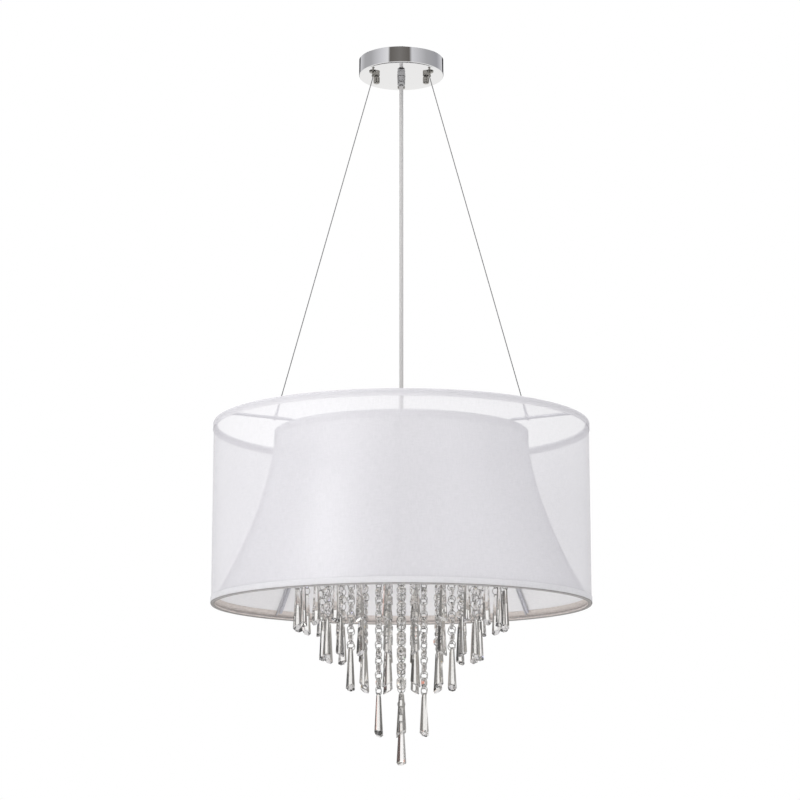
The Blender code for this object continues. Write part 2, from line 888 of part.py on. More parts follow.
def plain_strand_mesh(octagons, first_ring, top, tilt, corners):
    """A strand of octagons on a thin link, with its prism, as one body."""
    prism = prism_top(octagons, first_ring)
    sections = plain_sections(octagons, first_ring, top, prism)
    return loft(sections[:-1] + prism_sections(prism, tilt), corners)


def make_hooked_strand(name, octagons, bar_radius, place, angle, tilt):
    """A strand with an open ring at its top only. It swings about its origin, on the bar's axis."""
    first_ring = hook_ring_height(bar_radius)
    link_top = first_ring - jump_ring_radius
    crystals = plain_strand_mesh(octagons, first_ring, link_top, tilt, crystal_corners)
    return hang_strand(name, crystals, jump_ring_mesh(first_ring), place, angle)


def cut_tilt(index):
    """The prisms' slanted cuts face one way and the other in turn."""
    return 1 if index % 2 else -1


def make_hinged_strands():
    for tier, (tier_name, count, start, octagons) in enumerate(strand_tiers[:hinged_tiers]):
        height = strand_plane if tier else pin_level
        bar = frame_wire_radius if tier else pin_radius
        make_strand = make_linked_strand if tier < linked_tiers else make_hooked_strand
        for index in range(count):
            angle = math.radians(start) + math.tau * index / count
            name = f"strand_{tier_name}_{index + 1:02d}" if tier else "strand_middle"
            place = polar(tier * first_tier_radius, angle, height)
            make_strand(name, octagons, bar, place, angle, cut_tilt(index))


def make_hung_ring(tier, sides):
    """An outer ring of the strand frame, with its own strands fused to it."""
    tier_name, count, start, octagons = strand_tiers[tier]
    circle = tier * first_tier_radius
    first_ring = hook_ring_height(frame_wire_radius)
    strands = []
    for index in range(count):
        angle = math.radians(start) + math.tau * index / count
        mesh = plain_strand_mesh(octagons, first_ring, 0.0, cut_tilt(index), outer_crystal_corners)
        mesh.transform(Matrix.Translation(polar(circle, angle)) @ Matrix.Rotation(angle, 4, "Z"))
        strands.append(mesh)
    name = f"strand_ring_{tier_name}"
    # Each strand hangs from the middle of one of the ring's straight sides
    half_step = math.pi / sides
    corner_circle = circle / math.cos(half_step)
    turn = math.radians(start) + half_step
    obj = add_object(name, ring_mesh(corner_circle, frame_wire_radius, sides, wire_sides, turn=turn), steel)
    hung = add_object(name + "_strands", joined_mesh(name + "_strands", strands), None, cutters)
    for part in (obj, hung):
        part.location = (0.0, 0.0, hung_ring_level)
    return boolean(obj, hung, "UNION")


# Strand frame: stem and boss turned in one, with spokes, two rings and the middle strand's pin

def bar_between(name, start, end, radius):
    """A square bar on its edge between two points."""
    bar = wire(name, [start, end], radius, None, bevel_segments=0, collection=cutters)
    bpy.context.view_layer.update()
    depsgraph = bpy.context.evaluated_depsgraph_get()
    mesh = bpy.data.meshes.new_from_object(bar.evaluated_get(depsgraph))
    bm = bmesh.new()
    bm.from_mesh(mesh)
    bmesh.ops.remove_doubles(bm, verts=bm.verts, dist=weld_distance)
    solid = add_object(name + "_solid", mesh_from(bm, name + "_solid"), None, cutters)
    solid.matrix_world = bar.matrix_world
    bpy.data.objects.remove(bar, do_unlink=True)
    return solid


def make_strand_frame():
    boss_top = boss_bottom + boss_height
    profile = (
        (0.0, hub_bottom - seat_gap),
        (stem_radius, hub_bottom - seat_gap),
        (stem_radius, boss_top),
        (boss_radius, boss_top),
        (boss_radius, boss_bottom),
        (0.0, boss_bottom),
    )
    frame = turned("strand_frame", profile, small_round_segments, steel)
    half_step = math.pi / small_round_segments
    frame.rotation_euler = (0.0, 0.0, half_step)
    in_wall = (boss_radius + boss_recess_radius) / 2
    height = Vector((0.0, 0.0, spoke_level))
    for index in range(spoke_count):
        angle = math.tau * index / spoke_count
        root = height + polar(in_wall, angle)
        tip = height + polar(spoke_length, angle)
        boolean(frame, bar_between("spoke", root, tip, frame_wire_radius), "UNION")
    rings = []
    for tier in range(1, hinged_tiers):
        tier_name, count, start, octagons = strand_tiers[tier]
        sides = frame_ring_sides_per_strand * count
        circle = tier * first_tier_radius
        turn = math.radians(start)
        rings.append(ring_mesh(circle, frame_wire_radius, sides, wire_sides, turn, strand_plane))
    boolean(frame, add_object("frame_rings", joined_mesh("frame_rings", rings), None, cutters), "UNION")
    recess_top = boss_bottom + boss_recess_depth
    recess = hole_cutter("boss_recess", boss_recess_radius, boss_bottom - cut_overrun, recess_top)
    recess.rotation_euler = (0.0, 0.0, half_step)
    boolean(frame, recess, "DIFFERENCE")
    half_pin = Vector((0.0, in_wall, 0.0))
    middle = Vector((0.0, 0.0, pin_level))
    boolean(frame, bar_between("pin", middle - half_pin, middle + half_pin, pin_radius), "UNION")
    return frame


# Assembly

make_mounting_strap()
make_canopy()
make_knurled_nut("knurled_nut_left", -1)
make_knurled_nut("knurled_nut_right", 1)
make_cord_grip()
make_grip_locknut()
make_terminal_block()
make_power_cord()
for side, degrees in cable_angles_deg.items():
    make_cable_gripper("cable_gripper_" + side, math.radians(degrees))
    make_suspension_cable("suspension_cable_" + side, math.radians(degrees))
    make_cable_hook("cable_hook_" + side, math.radians(degrees))
    make_arm("arm_" + side, math.radians(degrees))
make_wire_rings()
for side, degrees in rib_angles_deg.items():
    make_rib("rib_" + side, math.radians(degrees))
make_outer_shade()
make_inner_shade()
make_tape("top_tape", drum_top + tape_lip)
make_tape("bottom_tape", drum_bottom - tape_lip + tape_height)
make_lamp_hub()
for side, degrees in lamp_angles_deg.items():
    lamp = lamp_axis("lamp_axis_" + side, math.radians(degrees))
    make_lampholder("lampholder_" + side, lamp)
    make_bulb("bulb_" + side, lamp)
make_strand_frame()
make_hinged_strands()
for tier, sides in hung_ring_sides.items():
    make_hung_ring(tier, sides)
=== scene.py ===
"""Drum chandelier: the look of its cloth, chrome, steel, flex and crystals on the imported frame.

Metres, +Z up. The origin is on the ceiling, and the front faces -Y.
"""

import math
import random

import bmesh
import bpy
from mathutils import Euler, Matrix, Vector


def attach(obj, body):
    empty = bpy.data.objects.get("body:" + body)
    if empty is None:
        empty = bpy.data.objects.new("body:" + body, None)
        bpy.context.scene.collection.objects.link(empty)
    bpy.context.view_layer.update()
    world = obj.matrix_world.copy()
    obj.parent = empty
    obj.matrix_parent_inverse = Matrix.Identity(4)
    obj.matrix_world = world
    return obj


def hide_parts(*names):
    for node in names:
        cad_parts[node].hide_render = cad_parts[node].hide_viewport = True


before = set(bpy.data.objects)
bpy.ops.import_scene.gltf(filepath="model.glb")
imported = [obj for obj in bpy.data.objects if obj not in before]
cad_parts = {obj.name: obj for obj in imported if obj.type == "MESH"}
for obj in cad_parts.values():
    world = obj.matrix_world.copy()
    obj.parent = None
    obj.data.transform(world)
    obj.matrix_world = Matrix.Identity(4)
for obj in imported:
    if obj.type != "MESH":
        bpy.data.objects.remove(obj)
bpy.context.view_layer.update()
bpy.context.scene.view_settings.view_transform = "Standard"

# Sizes and places, as the frame has them
seat_gap = 0.0003
drum_radius = 0.2794
drum_top = -0.572
drum_bottom = -0.842
bell_top = -0.5836
bell_bottom = -0.8372
bell_top_radius = 0.1888
bell_bottom_radius = 0.2778
bell_curve_power = 1.7
bell_map_radius = 0.235
hem_thickness = 0.0005
outer_ring_circle = 0.2765
outer_ring_height = -0.576
bottom_ring_height = -0.8395
outer_ring_wire = 0.002
inner_ring_circle = 0.18615
inner_ring_height = -0.58485
inner_ring_wire = 0.00175
arm_height = -0.58055
arm_wire = 0.00225
arm_leg_circle = 0.18185
arm_leg_depth = 0.054
rib_wire = 0.00125
canopy_radius = 0.065
canopy_bottom = -0.026
canopy_wall = 0.001
stud_spread = 0.038
cord_radius = 0.003
grip_foot = -0.0413
grip_top = -0.0207
cable_radius = 0.00075
cable_circle = 0.050
cable_exit_height = -0.03555
hook_circle = 0.2107
hook_eye_radius = 0.0047
hook_wire = 0.0009
sleeve_length = 0.013
hub_centre = -0.65255
hub_radius = 0.022
hub_flat_radius = 0.02125
hub_half_height = 0.009
cord_end = -0.64825
spoke_height = -0.7852
strand_plane = -0.7872
hung_ring_height = -0.7885
pin_height = -0.7842
boss_bottom = -0.7885
frame_wire = 0.0015
pin_wire = 0.0012
strand_ring_pitch = 0.0383
link_pitch = 0.022
octagon_half = 0.007
jump_ring_radius = 0.0054
jump_ring_wire = 0.0006
prism_length = 0.0625
prism_top_radius = 0.004
prism_foot_radius = 0.0076
prism_flatness = 0.85
prism_hang = 0.0040
core_radius = 0.0010
core_circle = 0.00105
cable_angles = {"left": -150.0, "right": -30.0, "back": 90.0}
rib_angles = {"front_right": -45.0, "back_right": 45.0, "back_left": 135.0, "front_left": -135.0}
lamp_angles = {"front": -90.0, "right": 30.0, "left": 150.0}
strand_rings = (
    ("middle", 1, 0.0, 10, pin_height),
    ("first", 6, 30.0, 8, strand_plane),
    ("second", 12, 15.0, 5, strand_plane),
    ("third", 18, 0.0, 3, hung_ring_height),
    ("fourth", 24, 7.5, 1, hung_ring_height),
)


def polar(radius, degrees, height=0.0):
    """The point at a radius and an angle round the chandelier's axis."""
    turn = math.radians(degrees)
    return Vector((radius * math.cos(turn), radius * math.sin(turn), height))


# Camera, at the photograph's place

camera_data = bpy.data.cameras.new("photo_camera")
camera_data.sensor_width = 36.0
camera_data.lens = 103.63
camera = bpy.data.objects.new("photo_camera", camera_data)
bpy.context.scene.collection.objects.link(camera)
camera.location = (-0.002, -3.38, -1.205)
camera_tilt = 11.24
camera.rotation_euler = (math.radians(90 + camera_tilt), 0.0, 0.0)
bpy.context.scene.camera = camera


# Shared effects

def new_group(name, inputs, outputs):
    """A group of nodes with a vector input, numbers with their defaults, and numbers given back."""
    group = bpy.data.node_groups.new(name, "ShaderNodeTree")
    for title, value in inputs.items():
        kind = "NodeSocketVector" if value is None else "NodeSocketFloat"
        socket = group.interface.new_socket(name=title, in_out="INPUT", socket_type=kind)
        if value is not None:
            socket.default_value = value
    for title in outputs:
        group.interface.new_socket(name=title, in_out="OUTPUT", socket_type="NodeSocketFloat")
    return group, group.nodes.new("NodeGroupInput"), group.nodes.new("NodeGroupOutput")


def rgba(colour):
    """A colour with its alpha, from a triple or a grey level."""
    return (*colour, 1.0) if isinstance(colour, tuple) else (colour, colour, colour, 1.0)


def feed(tree, node, inputs):
    """Links or sets inputs of a node, by title or number."""
    for key, value in inputs.items():
        socket = node.inputs[key]
        if isinstance(value, bpy.types.NodeSocket):
            tree.links.new(value, socket)
        else:
            socket.default_value = rgba(value) if socket.type == "RGBA" else value


def add_node(tree, kind, inputs=None, **settings):
    node = tree.nodes.new("ShaderNode" + kind)
    for title, value in settings.items():
        setattr(node, title, value)
    feed(tree, node, inputs or {})
    return node


def math_node(tree, operation, first, second=0.5, clamp=False):
    return add_node(tree, "Math", {0: first, 1: second}, operation=operation, use_clamp=clamp).outputs[0]


def times(tree, first, second, clamp=False):
    return math_node(tree, "MULTIPLY", first, second, clamp)


def noise_node(tree, vector, scale, detail=2.0):
    return add_node(tree, "TexNoise", {"Vector": vector, "Scale": scale, "Detail": detail}).outputs["Fac"]


def mixed_colour(tree, share, first, second, rule="MIX"):
    """From the first colour to the second, or both multiplied or added, each a value or a socket."""
    return add_node(tree, "Mix", {0: share, 6: first, 7: second}, data_type="RGBA", blend_type=rule).outputs[2]


def ramp_node(tree, value, stops, step=False):
    node = add_node(tree, "ValToRGB", {"Fac": value})
    node.color_ramp.interpolation = "CONSTANT" if step else "LINEAR"
    elements = node.color_ramp.elements
    while len(elements) < len(stops):
        elements.new(0.5)
    for element, (place, colour) in zip(elements, stops):
        element.position = place
        element.color = rgba(colour)
    return node.outputs["Color"]


def make_weave_group():
    """Plain weave over a map in metres: how much thread covers, its height, and the slubs' shade."""
    inputs = {"Map": None, "Threads": 1500.0}
    group, start, end = new_group("plain_weave", inputs, ("Cover", "Height", "Slub"))
    place = start.outputs["Map"]
    split = add_node(group, "SeparateXYZ", {0: place})
    turns = times(group, start.outputs["Threads"], math.pi)
    waves = [math_node(group, "SINE", times(group, split.outputs[axis], turns)) for axis in "XY"]
    threads = [math_node(group, "ABSOLUTE", wave) for wave in waves]
    slubs = []
    for stretch in ((0.12, 1.0, 1.0), (1.0, 0.12, 1.0)):
        mapping = add_node(group, "Mapping", {"Vector": place, "Scale": stretch})
        slubs.append(noise_node(group, mapping.outputs["Vector"], 700.0, 1.0))
    both = math_node(group, "ADD", *slubs)
    cover, height = math_node(group, "MAXIMUM", *threads), times(group, *waves)
    feed(group, end, {"Cover": cover, "Height": height, "Slub": times(group, both, 0.5)})
    return group


def make_handling_group():
    """Fine polishing marks and handling haze, as a roughness between two values, and their height."""
    inputs = {"Place": None, "Size": 60.0, "Low": 0.03, "High": 0.10}
    group, start, end = new_group("handling_marks", inputs, ("Roughness", "Height"))
    place, size, low, high = (start.outputs[title] for title in ("Place", "Size", "Low", "High"))
    haze = noise_node(group, place, size, 4.0)
    fine = noise_node(group, place, times(group, size, 14.0), 2.0)
    mixed = times(group, times(group, haze, fine), 2.5, clamp=True)
    shift = times(group, mixed, math_node(group, "SUBTRACT", high, low))
    feed(group, end, {"Roughness": math_node(group, "ADD", low, shift), "Height": fine})
    return group


plain_weave = make_weave_group()
handling_marks = make_handling_group()


# Materials

def new_material(name, colour, roughness=0.5, metallic=0.0, transmission=0.0, ior=1.5):
    material = bpy.data.materials.new(name)
    material.use_nodes = True
    tree = material.node_tree
    shader = tree.nodes["Principled BSDF"]
    feed(tree, shader, {"Base Color": colour, "Roughness": roughness, "Metallic": metallic})
    feed(tree, shader, {"Transmission Weight": transmission, "IOR": ior})
    return material, tree, shader


def object_place(tree):
    return add_node(tree, "TexCoord").outputs["Object"]


def add_bump(tree, shader, height, distance):
    bump = add_node(tree, "Bump", {"Height": height, "Distance": distance, "Strength": 1.0})
    feed(tree, shader, {"Normal": bump.outputs["Normal"]})


def add_marks(tree, shader, size, low, high):
    """Handling marks as the shader's roughness, their height given back."""
    inputs = {"Place": object_place(tree), "Size": size, "Low": low, "High": high}
    marks = add_node(tree, "Group", inputs, node_tree=handling_marks)
    feed(tree, shader, {"Roughness": marks.outputs["Roughness"]})
    return marks.outputs["Height"]


def make_metal(name, colour, size, low, high, depth, metallic=1.0):
    """A metal whose sheen is broken by handling marks."""
    material, tree, shader = new_material(name, colour, metallic=metallic)
    add_bump(tree, shader, add_marks(tree, shader, size, low, high), depth)
    return material


def make_cloth(name, dark, light, threads, roughness, depth, cover=None, sheen=0.0, gloss=0.5, ior=1.5):
    """A woven cloth with slubs in its threads, see-through where cover gives its least and most opacity."""
    material, tree, shader = new_material(name, light, roughness=roughness, ior=ior)
    cloth_map = add_node(tree, "TexCoord").outputs["UV"]
    weave = add_node(tree, "Group", {"Map": cloth_map, "Threads": threads}, node_tree=plain_weave)
    slub = weave.outputs["Slub"]
    colour = ramp_node(tree, slub, ((0.38, dark), (0.62, light)))
    feed(tree, shader, {"Base Color": colour, "Sheen Weight": sheen, "Specular IOR Level": gloss})
    add_bump(tree, shader, weave.outputs["Height"], depth)
    if cover:
        least, most = cover
        even = math_node(tree, "ADD", times(tree, slub, 0.25), 0.875)
        span = times(tree, weave.outputs["Cover"], even)
        opacity = math_node(tree, "ADD", times(tree, span, most - least), least, clamp=True)
        feed(tree, shader, {"Alpha": opacity})
    return material


def make_plastic(name, colour, shade, roughness):
    """A moulded plastic with a faint cloudiness and a fine spark-eroded skin."""
    material, tree, shader = new_material(name, colour, roughness=roughness)
    place = object_place(tree)
    cloud = noise_node(tree, place, 90.0, 3.0)
    feed(tree, shader, {"Base Color": ramp_node(tree, cloud, ((0.35, shade), (0.65, colour)))})
    add_bump(tree, shader, noise_node(tree, place, 2500.0, 1.0), 0.00002)
    return material


def make_glass(name, colour, ior, size, low, high, transmission, shadow=1.0):
    """Clear glass with the faintest polishing haze, and the share of light that its shadow holds back."""
    material, tree, shader = new_material(name, colour, transmission=transmission, ior=ior)
    add_marks(tree, shader, size, low, high)
    if shadow < 1.0:
        in_shadow = add_node(tree, "LightPath").outputs["Is Shadow Ray"]
        clear = times(tree, in_shadow, 1.0 - shadow)
        feed(tree, shader, {"Alpha": math_node(tree, "SUBTRACT", 1.0, clear)})
    return material


chrome = make_metal("polished_chrome", (0.86, 0.86, 0.87), 60.0, 0.015, 0.06, 0.000002)
ring_chrome = make_metal("ring_chrome", (0.52, 0.52, 0.51), 200.0, 0.12, 0.24, 0.000002)
zinc = make_metal("zinc_plate", (0.62, 0.62, 0.59), 90.0, 0.28, 0.50, 0.00001)
frame_steel = make_metal("frame_steel", (0.62, 0.62, 0.65), 120.0, 0.40, 0.55, 0.000005, 0.6)
cable_steel = make_metal("cable_steel", (0.25, 0.25, 0.255), 300.0, 0.55, 0.70, 0.000004, 0.35)
# The flex grip's chrome is coloured far darker than chrome: a painted dark reflection
grip_chrome_painted_dark = make_metal("grip_chrome_painted_dark", (0.39, 0.39, 0.40), 60.0, 0.02, 0.08, 0.000002)
# Nickel for the nuts and grippers, coloured darker than the metal is: a painted dark reflection
nickel_painted_dark_reflection = make_metal("nickel_painted_dark_reflection", (0.33, 0.32, 0.30), 200.0, 0.15, 0.30, 0.000004)
cap_nickel = make_metal("cap_nickel", (0.72, 0.70, 0.65), 120.0, 0.18, 0.35, 0.000004)
tinned_copper = make_metal("tinned_copper", (0.90, 0.885, 0.865), 400.0, 0.50, 0.65, 0.000004, 0.35)
sheer_cloth = make_cloth(
    "sheer_organza", (0.825, 0.812, 0.848), (0.865, 0.853, 0.888), 2400.0, 0.40, 0.00001, (0.36, 0.58), 0.10, 0.9,
    ior=1.6,
)
bell_cloth = make_cloth(
    "bell_cloth", (0.765, 0.762, 0.778), (0.80, 0.797, 0.812), 1600.0, 0.32, 0.00001, (0.88, 0.97), 0.05, 1.0,
    ior=1.9,
)
# The bell's cloth is matt on its inside
bell_tree = bell_cloth.node_tree
bell_back = add_node(bell_tree, "NewGeometry").outputs["Backfacing"]
feed(bell_tree, bell_tree.nodes["Principled BSDF"], {"Roughness": mixed_colour(bell_tree, bell_back, 0.32, 0.95)})
hem_cloth = make_cloth(
    "hem_cloth", (0.87, 0.866, 0.885), (0.91, 0.906, 0.925), 1800.0, 0.50, 0.00002, (0.42, 0.66), 0.10
)
# A lighter copy of the hem cloth for the top hem: painted light
top_hem_painted_light = make_cloth(
    "top_hem_painted_light", (0.92, 0.91, 0.935), (0.95, 0.94, 0.965), 1800.0, 0.50, 0.00002, (0.46, 0.54), 0.10
)
# Dark grey for the bottom hem's lowest faces: a painted shadow along its edge
hem_edge_painted_shade = make_cloth("hem_edge_painted_shade", (0.23, 0.22, 0.215), (0.29, 0.28, 0.27), 1200.0, 0.80, 0.00008)
binding_tape = make_cloth("binding_tape", (0.42, 0.42, 0.46), (0.50, 0.50, 0.54), 1200.0, 0.80, 0.00008)
# The inside leg of the bottom hem, coloured a darker warm taupe: painted shade of the dim hem inside
lining_painted_shade = make_cloth("lining_painted_shade", (0.58, 0.53, 0.50), (0.70, 0.65, 0.62), 1200.0, 0.80, 0.00008)
crystal = make_glass("cut_crystal", (0.985, 0.978, 0.968), 1.54, 250.0, 0.0, 0.012, 0.97, shadow=0.06)
flex_sheath = make_glass("clear_flex", (0.78, 0.77, 0.76), 1.42, 250.0, 0.15, 0.25, 0.30, shadow=0.6)
opal_glass = make_glass("opal_glass", (0.93, 0.93, 0.91), 1.45, 80.0, 0.30, 0.42, 0.25)
white_plastic = make_plastic("moulded_white", (0.86, 0.86, 0.85), (0.80, 0.80, 0.785), 0.42)


# Modelling helpers

def deselect():
    if bpy.context.object and bpy.context.object.mode != "OBJECT":
        bpy.ops.object.mode_set(mode="OBJECT")
    bpy.ops.object.select_all(action="DESELECT")


def make_active(piece):
    deselect()
    piece.select_set(True)
    bpy.context.view_layer.objects.active = piece


def start_edit(piece, mode="FACE"):
    make_active(piece)
    bpy.ops.object.mode_set(mode="EDIT")
    bpy.ops.mesh.select_mode(type=mode)
    bpy.ops.mesh.select_all(action="DESELECT")


def end_edit():
    bpy.ops.object.mode_set(mode="OBJECT")


def select_parts(piece, kind, wanted):
    """Selects the faces or the edges that are wanted, in edit mode."""
    bm = bmesh.from_edit_mesh(piece.data)
    for part in getattr(bm, kind):
        part.select_set(wanted(part))
    bmesh.update_edit_mesh(piece.data)


def close_mesh():
    """In edit mode, joins the points that coincide and turns all faces outwards."""
    bpy.ops.mesh.select_all(action="SELECT")
    bpy.ops.mesh.remove_doubles(threshold=0.000002)
    bpy.ops.mesh.normals_make_consistent(inside=False)
    end_edit()


def primitive(name, kind, **values):
    """A mesh primitive, named, with its place put into its mesh."""
    deselect()
    getattr(bpy.ops.mesh, f"primitive_{kind}_add")(**values)
    piece = bpy.context.object
    piece.name = name
    piece.data.name = name
    piece.data.transform(piece.matrix_world)
    piece.matrix_world = Matrix.Identity(4)
    return piece


def apply_modifier(piece, kind, **values):
    modifier = piece.modifiers.new(kind.title(), kind)
    for title, value in values.items():
        setattr(modifier, title, value)
    make_active(piece)
    bpy.ops.object.modifier_apply(modifier=modifier.name)


def shade(piece, degrees=35.0):
    make_active(piece)
    bpy.ops.object.shade_smooth_by_angle(angle=math.radians(degrees))


def finished(piece, material, replaced=(), body="root"):
    """Gives a piece its material and its body, and hides the frame nodes that it stands for."""
    piece.data.materials.clear()
    piece.data.materials.append(material)
    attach(piece, body)
    if replaced:
        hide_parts(*replaced)
    return piece


def turned_piece(name, profile, steps, closed=False, sweep=math.tau, start=0.0):
    """A piece spun about Z from a profile of radius and height pairs."""
    piece = primitive(name, "circle", vertices=len(profile), fill_type="NOTHING")
    for spot, (radius, height) in zip(piece.data.vertices, profile):
        spot.co = (radius * math.cos(start), radius * math.sin(start), height)
    start_edit(piece, "EDGE")
    if not closed:
        last = len(profile) - 1
        select_parts(piece, "edges", lambda edge: {v.index for v in edge.verts} == {0, last})
        bpy.ops.mesh.delete(type="EDGE")
    bpy.ops.mesh.select_all(action="SELECT")
    bpy.ops.mesh.spin(steps=steps, angle=sweep, center=(0.0, 0.0, 0.0), axis=(0.0, 0.0, 1.0))
    close_mesh()
    return piece


def face_outwards(piece):
    """Turns an open sheet round the axis to face away from it."""
    face = piece.data.polygons[0]
    if face.normal.x * face.center.x + face.normal.y * face.center.y < 0.0:
        start_edit(piece)
        bpy.ops.mesh.select_all(action="SELECT")
        bpy.ops.mesh.flip_normals()
        end_edit()


def map_round(piece, radius):
    """A map in metres: along the cloth round the axis, and up it."""
    layer = piece.data.uv_layers.get("cloth") or piece.data.uv_layers.new(name="cloth")
    for face in piece.data.polygons:
        middle = math.atan2(face.center.y, face.center.x)
        for loop in face.loop_indices:
            spot = piece.data.vertices[piece.data.loops[loop].vertex_index].co
            turn = math.atan2(spot.y, spot.x) if spot.xy.length > 1e-6 else middle
            turn = middle + math.remainder(turn - middle, math.tau)
            layer.data[loop].uv = (turn * radius, spot.z)
    piece.data.uv_layers.active = layer
    layer.active_render = True


def shape_wire(curve, points, radius, sides):
    """Makes a curve a round wire through the points."""
    spline = curve.splines.new("POLY")
    spline.points.add(len(points) - 1)
    for spot, point in zip(spline.points, points):
        spot.co = (*point, 1.0)
    curve.dimensions = "3D"
    curve.bevel_depth = radius
    curve.bevel_resolution = sides
    curve.use_fill_caps = True


def wire_piece(name, points, radius, sides=3):
    """A round wire through the points, as a closed mesh."""
    deselect()
    bpy.ops.curve.primitive_nurbs_path_add()
    piece = bpy.context.object
    piece.name = name
    piece.data.splines.clear()
    shape_wire(piece.data, points, radius, sides)
    make_active(piece)
    bpy.ops.object.convert(target="MESH")
    piece = bpy.context.object
    start_edit(piece)
    close_mesh()
    shade(piece, 40.0)
    return piece


def torus(name, circle, wire, steps, sides, height=0.0):
    """A torus round the axis, at a height."""
    sizes = {"major_segments": steps, "minor_segments": sides, "major_radius": circle, "minor_radius": wire}
    return primitive(name, "torus", location=(0.0, 0.0, height), **sizes)


def ring_piece(name, circle, wire, height, steps=144, sides=10):
    ring = torus(name, circle, wire, steps, sides, height)
    shade(ring, 60.0)
    return ring


def bent_path(corners, radii, steps=8):
    """A path through the corners, with an arc of its bend radius at each inner corner."""
    path = [corners[0]]
    for before, corner, after, radius in zip(corners, corners[1:], corners[2:], radii):
        inward = (before - corner).normalized()
        outward = (after - corner).normalized()
        half = inward.angle(outward) / 2
        middle = corner + (inward + outward).normalized() * radius / math.sin(half)
        first = (corner + inward * radius / math.tan(half) - middle).normalized()
        last = (corner + outward * radius / math.tan(half) - middle).normalized()
        path += [middle + first.slerp(last, step / steps).normalized() * radius for step in range(steps + 1)]
    return path + [corners[-1]]


def joined(name, pieces):
    """The pieces joined into one."""
    make_active(pieces[0])
    for piece in pieces:
        piece.select_set(True)
    bpy.context.view_layer.objects.active = pieces[0]
    bpy.ops.object.join()
    pieces[0].name = name
    pieces[0].data.name = name
    return pieces[0]


def placed_copy(pattern, matrix):
    """A copy of a pattern piece with its own mesh, its place in that mesh."""
    copy = pattern.copy()
    copy.data = pattern.data.copy()
    copy.data.transform(matrix)
    bpy.context.scene.collection.objects.link(copy)
    return copy


# Cords: the flex down the middle and the three steel cables

def make_flex():
    """The clear sheath from its grip to the lamp hub, with two twisted tinned cores in it."""
    ends_over = 0.0002
    count, core_steps, twists = 24, 320, 17
    path = [Vector((0.0, 0.0, grip_foot + (cord_end - grip_foot) * step / count)) for step in range(count + 1)]
    curve = bpy.data.curves.new("flex", "CURVE")
    shape_wire(curve, path, cord_radius, 6)
    flex = bpy.data.objects.new("flex", curve)
    bpy.context.scene.collection.objects.link(flex)
    finished(flex, flex_sheath, ["power_cord"])
    for index in range(2):
        helix = []
        for step in range(core_steps + 1):
            share = step / core_steps
            height = grip_foot - ends_over + (cord_end - grip_foot + 2 * ends_over) * share
            helix.append(polar(core_circle, math.degrees(math.pi * index + math.tau * twists * share), height))
        core = wire_piece(f"flex_core_{index + 1}", helix, core_radius, sides=2)
        finished(core, tinned_copper)


def hook_places(degrees):
    """The eye's centre, the way up along the cable, and the sleeve's foot."""
    arm_point = polar(hook_circle, degrees, arm_height)
    up = (polar(cable_circle, degrees, cable_exit_height) - arm_point).normalized()
    eye = arm_point + up * (hook_eye_radius - hook_wire - arm_wire / up.z - seat_gap)
    return eye, up, eye + up * (hook_eye_radius - hook_wire / 2)


def make_cable(side, degrees):
    """A laid steel cable, its six strands winding round it."""
    start = polar(cable_circle, degrees, cable_exit_height)
    _, up, foot = hook_places(degrees)
    seated = 0.0043
    end = foot + up * seated
    lobes, lay, per_lay = 6, 0.011, 8
    length = (start - end).length
    rings = round(length / lay * per_lay)
    across = polar(1.0, degrees + 90.0)
    third = up.cross(across)
    bm = bmesh.new()
    before = None
    for ring in range(rings + 1):
        centre = start - up * (length * ring / rings)
        turn = math.tau * ring / per_lay
        loop = []
        for corner in range(2 * lobes):
            angle = turn + math.tau * corner / (2 * lobes)
            radius = cable_radius * (1.0 if corner % 2 else 0.96)
            loop.append(bm.verts.new(centre + (across * math.cos(angle) + third * math.sin(angle)) * radius))
        if before:
            for corner in range(2 * lobes):
                after = (corner + 1) % (2 * lobes)
                bm.faces.new((before[corner], before[after], loop[after], loop[corner]))
        else:
            bm.faces.new(list(reversed(loop)))
        before = loop
    bm.faces.new(before)
    bmesh.ops.recalc_face_normals(bm, faces=bm.faces)
    mesh = bpy.data.meshes.new("steel_cable_" + side)
    bm.to_mesh(mesh)
    bm.free()
    cable = bpy.data.objects.new("steel_cable_" + side, mesh)
    bpy.context.scene.collection.objects.link(cable)
    shade(cable, 60.0)
    finished(cable, cable_steel, ["suspension_cable_" + side])


make_flex()
for side, degrees in cable_angles.items():
    make_cable(side, degrees)


# Canopy and what sits on it

def make_canopy():
    edge = 0.0023
    rim = canopy_radius
    profile = [(0.0, canopy_bottom + canopy_wall), (rim - 0.0030, canopy_bottom + canopy_wall)]
    profile += [(rim - canopy_wall, canopy_bottom + 0.0032), (rim - canopy_wall, -0.0003), (rim - 0.0003, 0.0)]
    profile += [(rim, -0.0004), (rim, canopy_bottom + edge)]
    for step in range(1, 7):
        turn = math.radians(15 * step)
        profile.append((rim - edge + edge * math.cos(turn), canopy_bottom + edge - edge * math.sin(turn)))
    profile += [(rim * 0.6, canopy_bottom), (0.0, canopy_bottom)]
    canopy = turned_piece("canopy_pan", profile, steps=160)
    grip_hole, stud_hole, gripper_hole = 0.0051, 0.0023, 0.0041
    holes = [(0.0, 0.0, grip_hole), (-stud_spread, 0.0, stud_hole), (stud_spread, 0.0, stud_hole)]
    for degrees in cable_angles.values():
        place = polar(cable_circle, degrees)
        holes.append((place.x, place.y, gripper_hole))
    for x, y, radius in holes:
        place = (x, y, canopy_bottom)
        cutter = primitive("hole", "cylinder", vertices=24, radius=radius, depth=0.004, location=place)
        apply_modifier(canopy, "BOOLEAN", operation="DIFFERENCE", solver="EXACT", object=cutter)
        bpy.data.objects.remove(cutter, do_unlink=True)
    shade(canopy, 30.0)
    finished(canopy, chrome, ["canopy"])


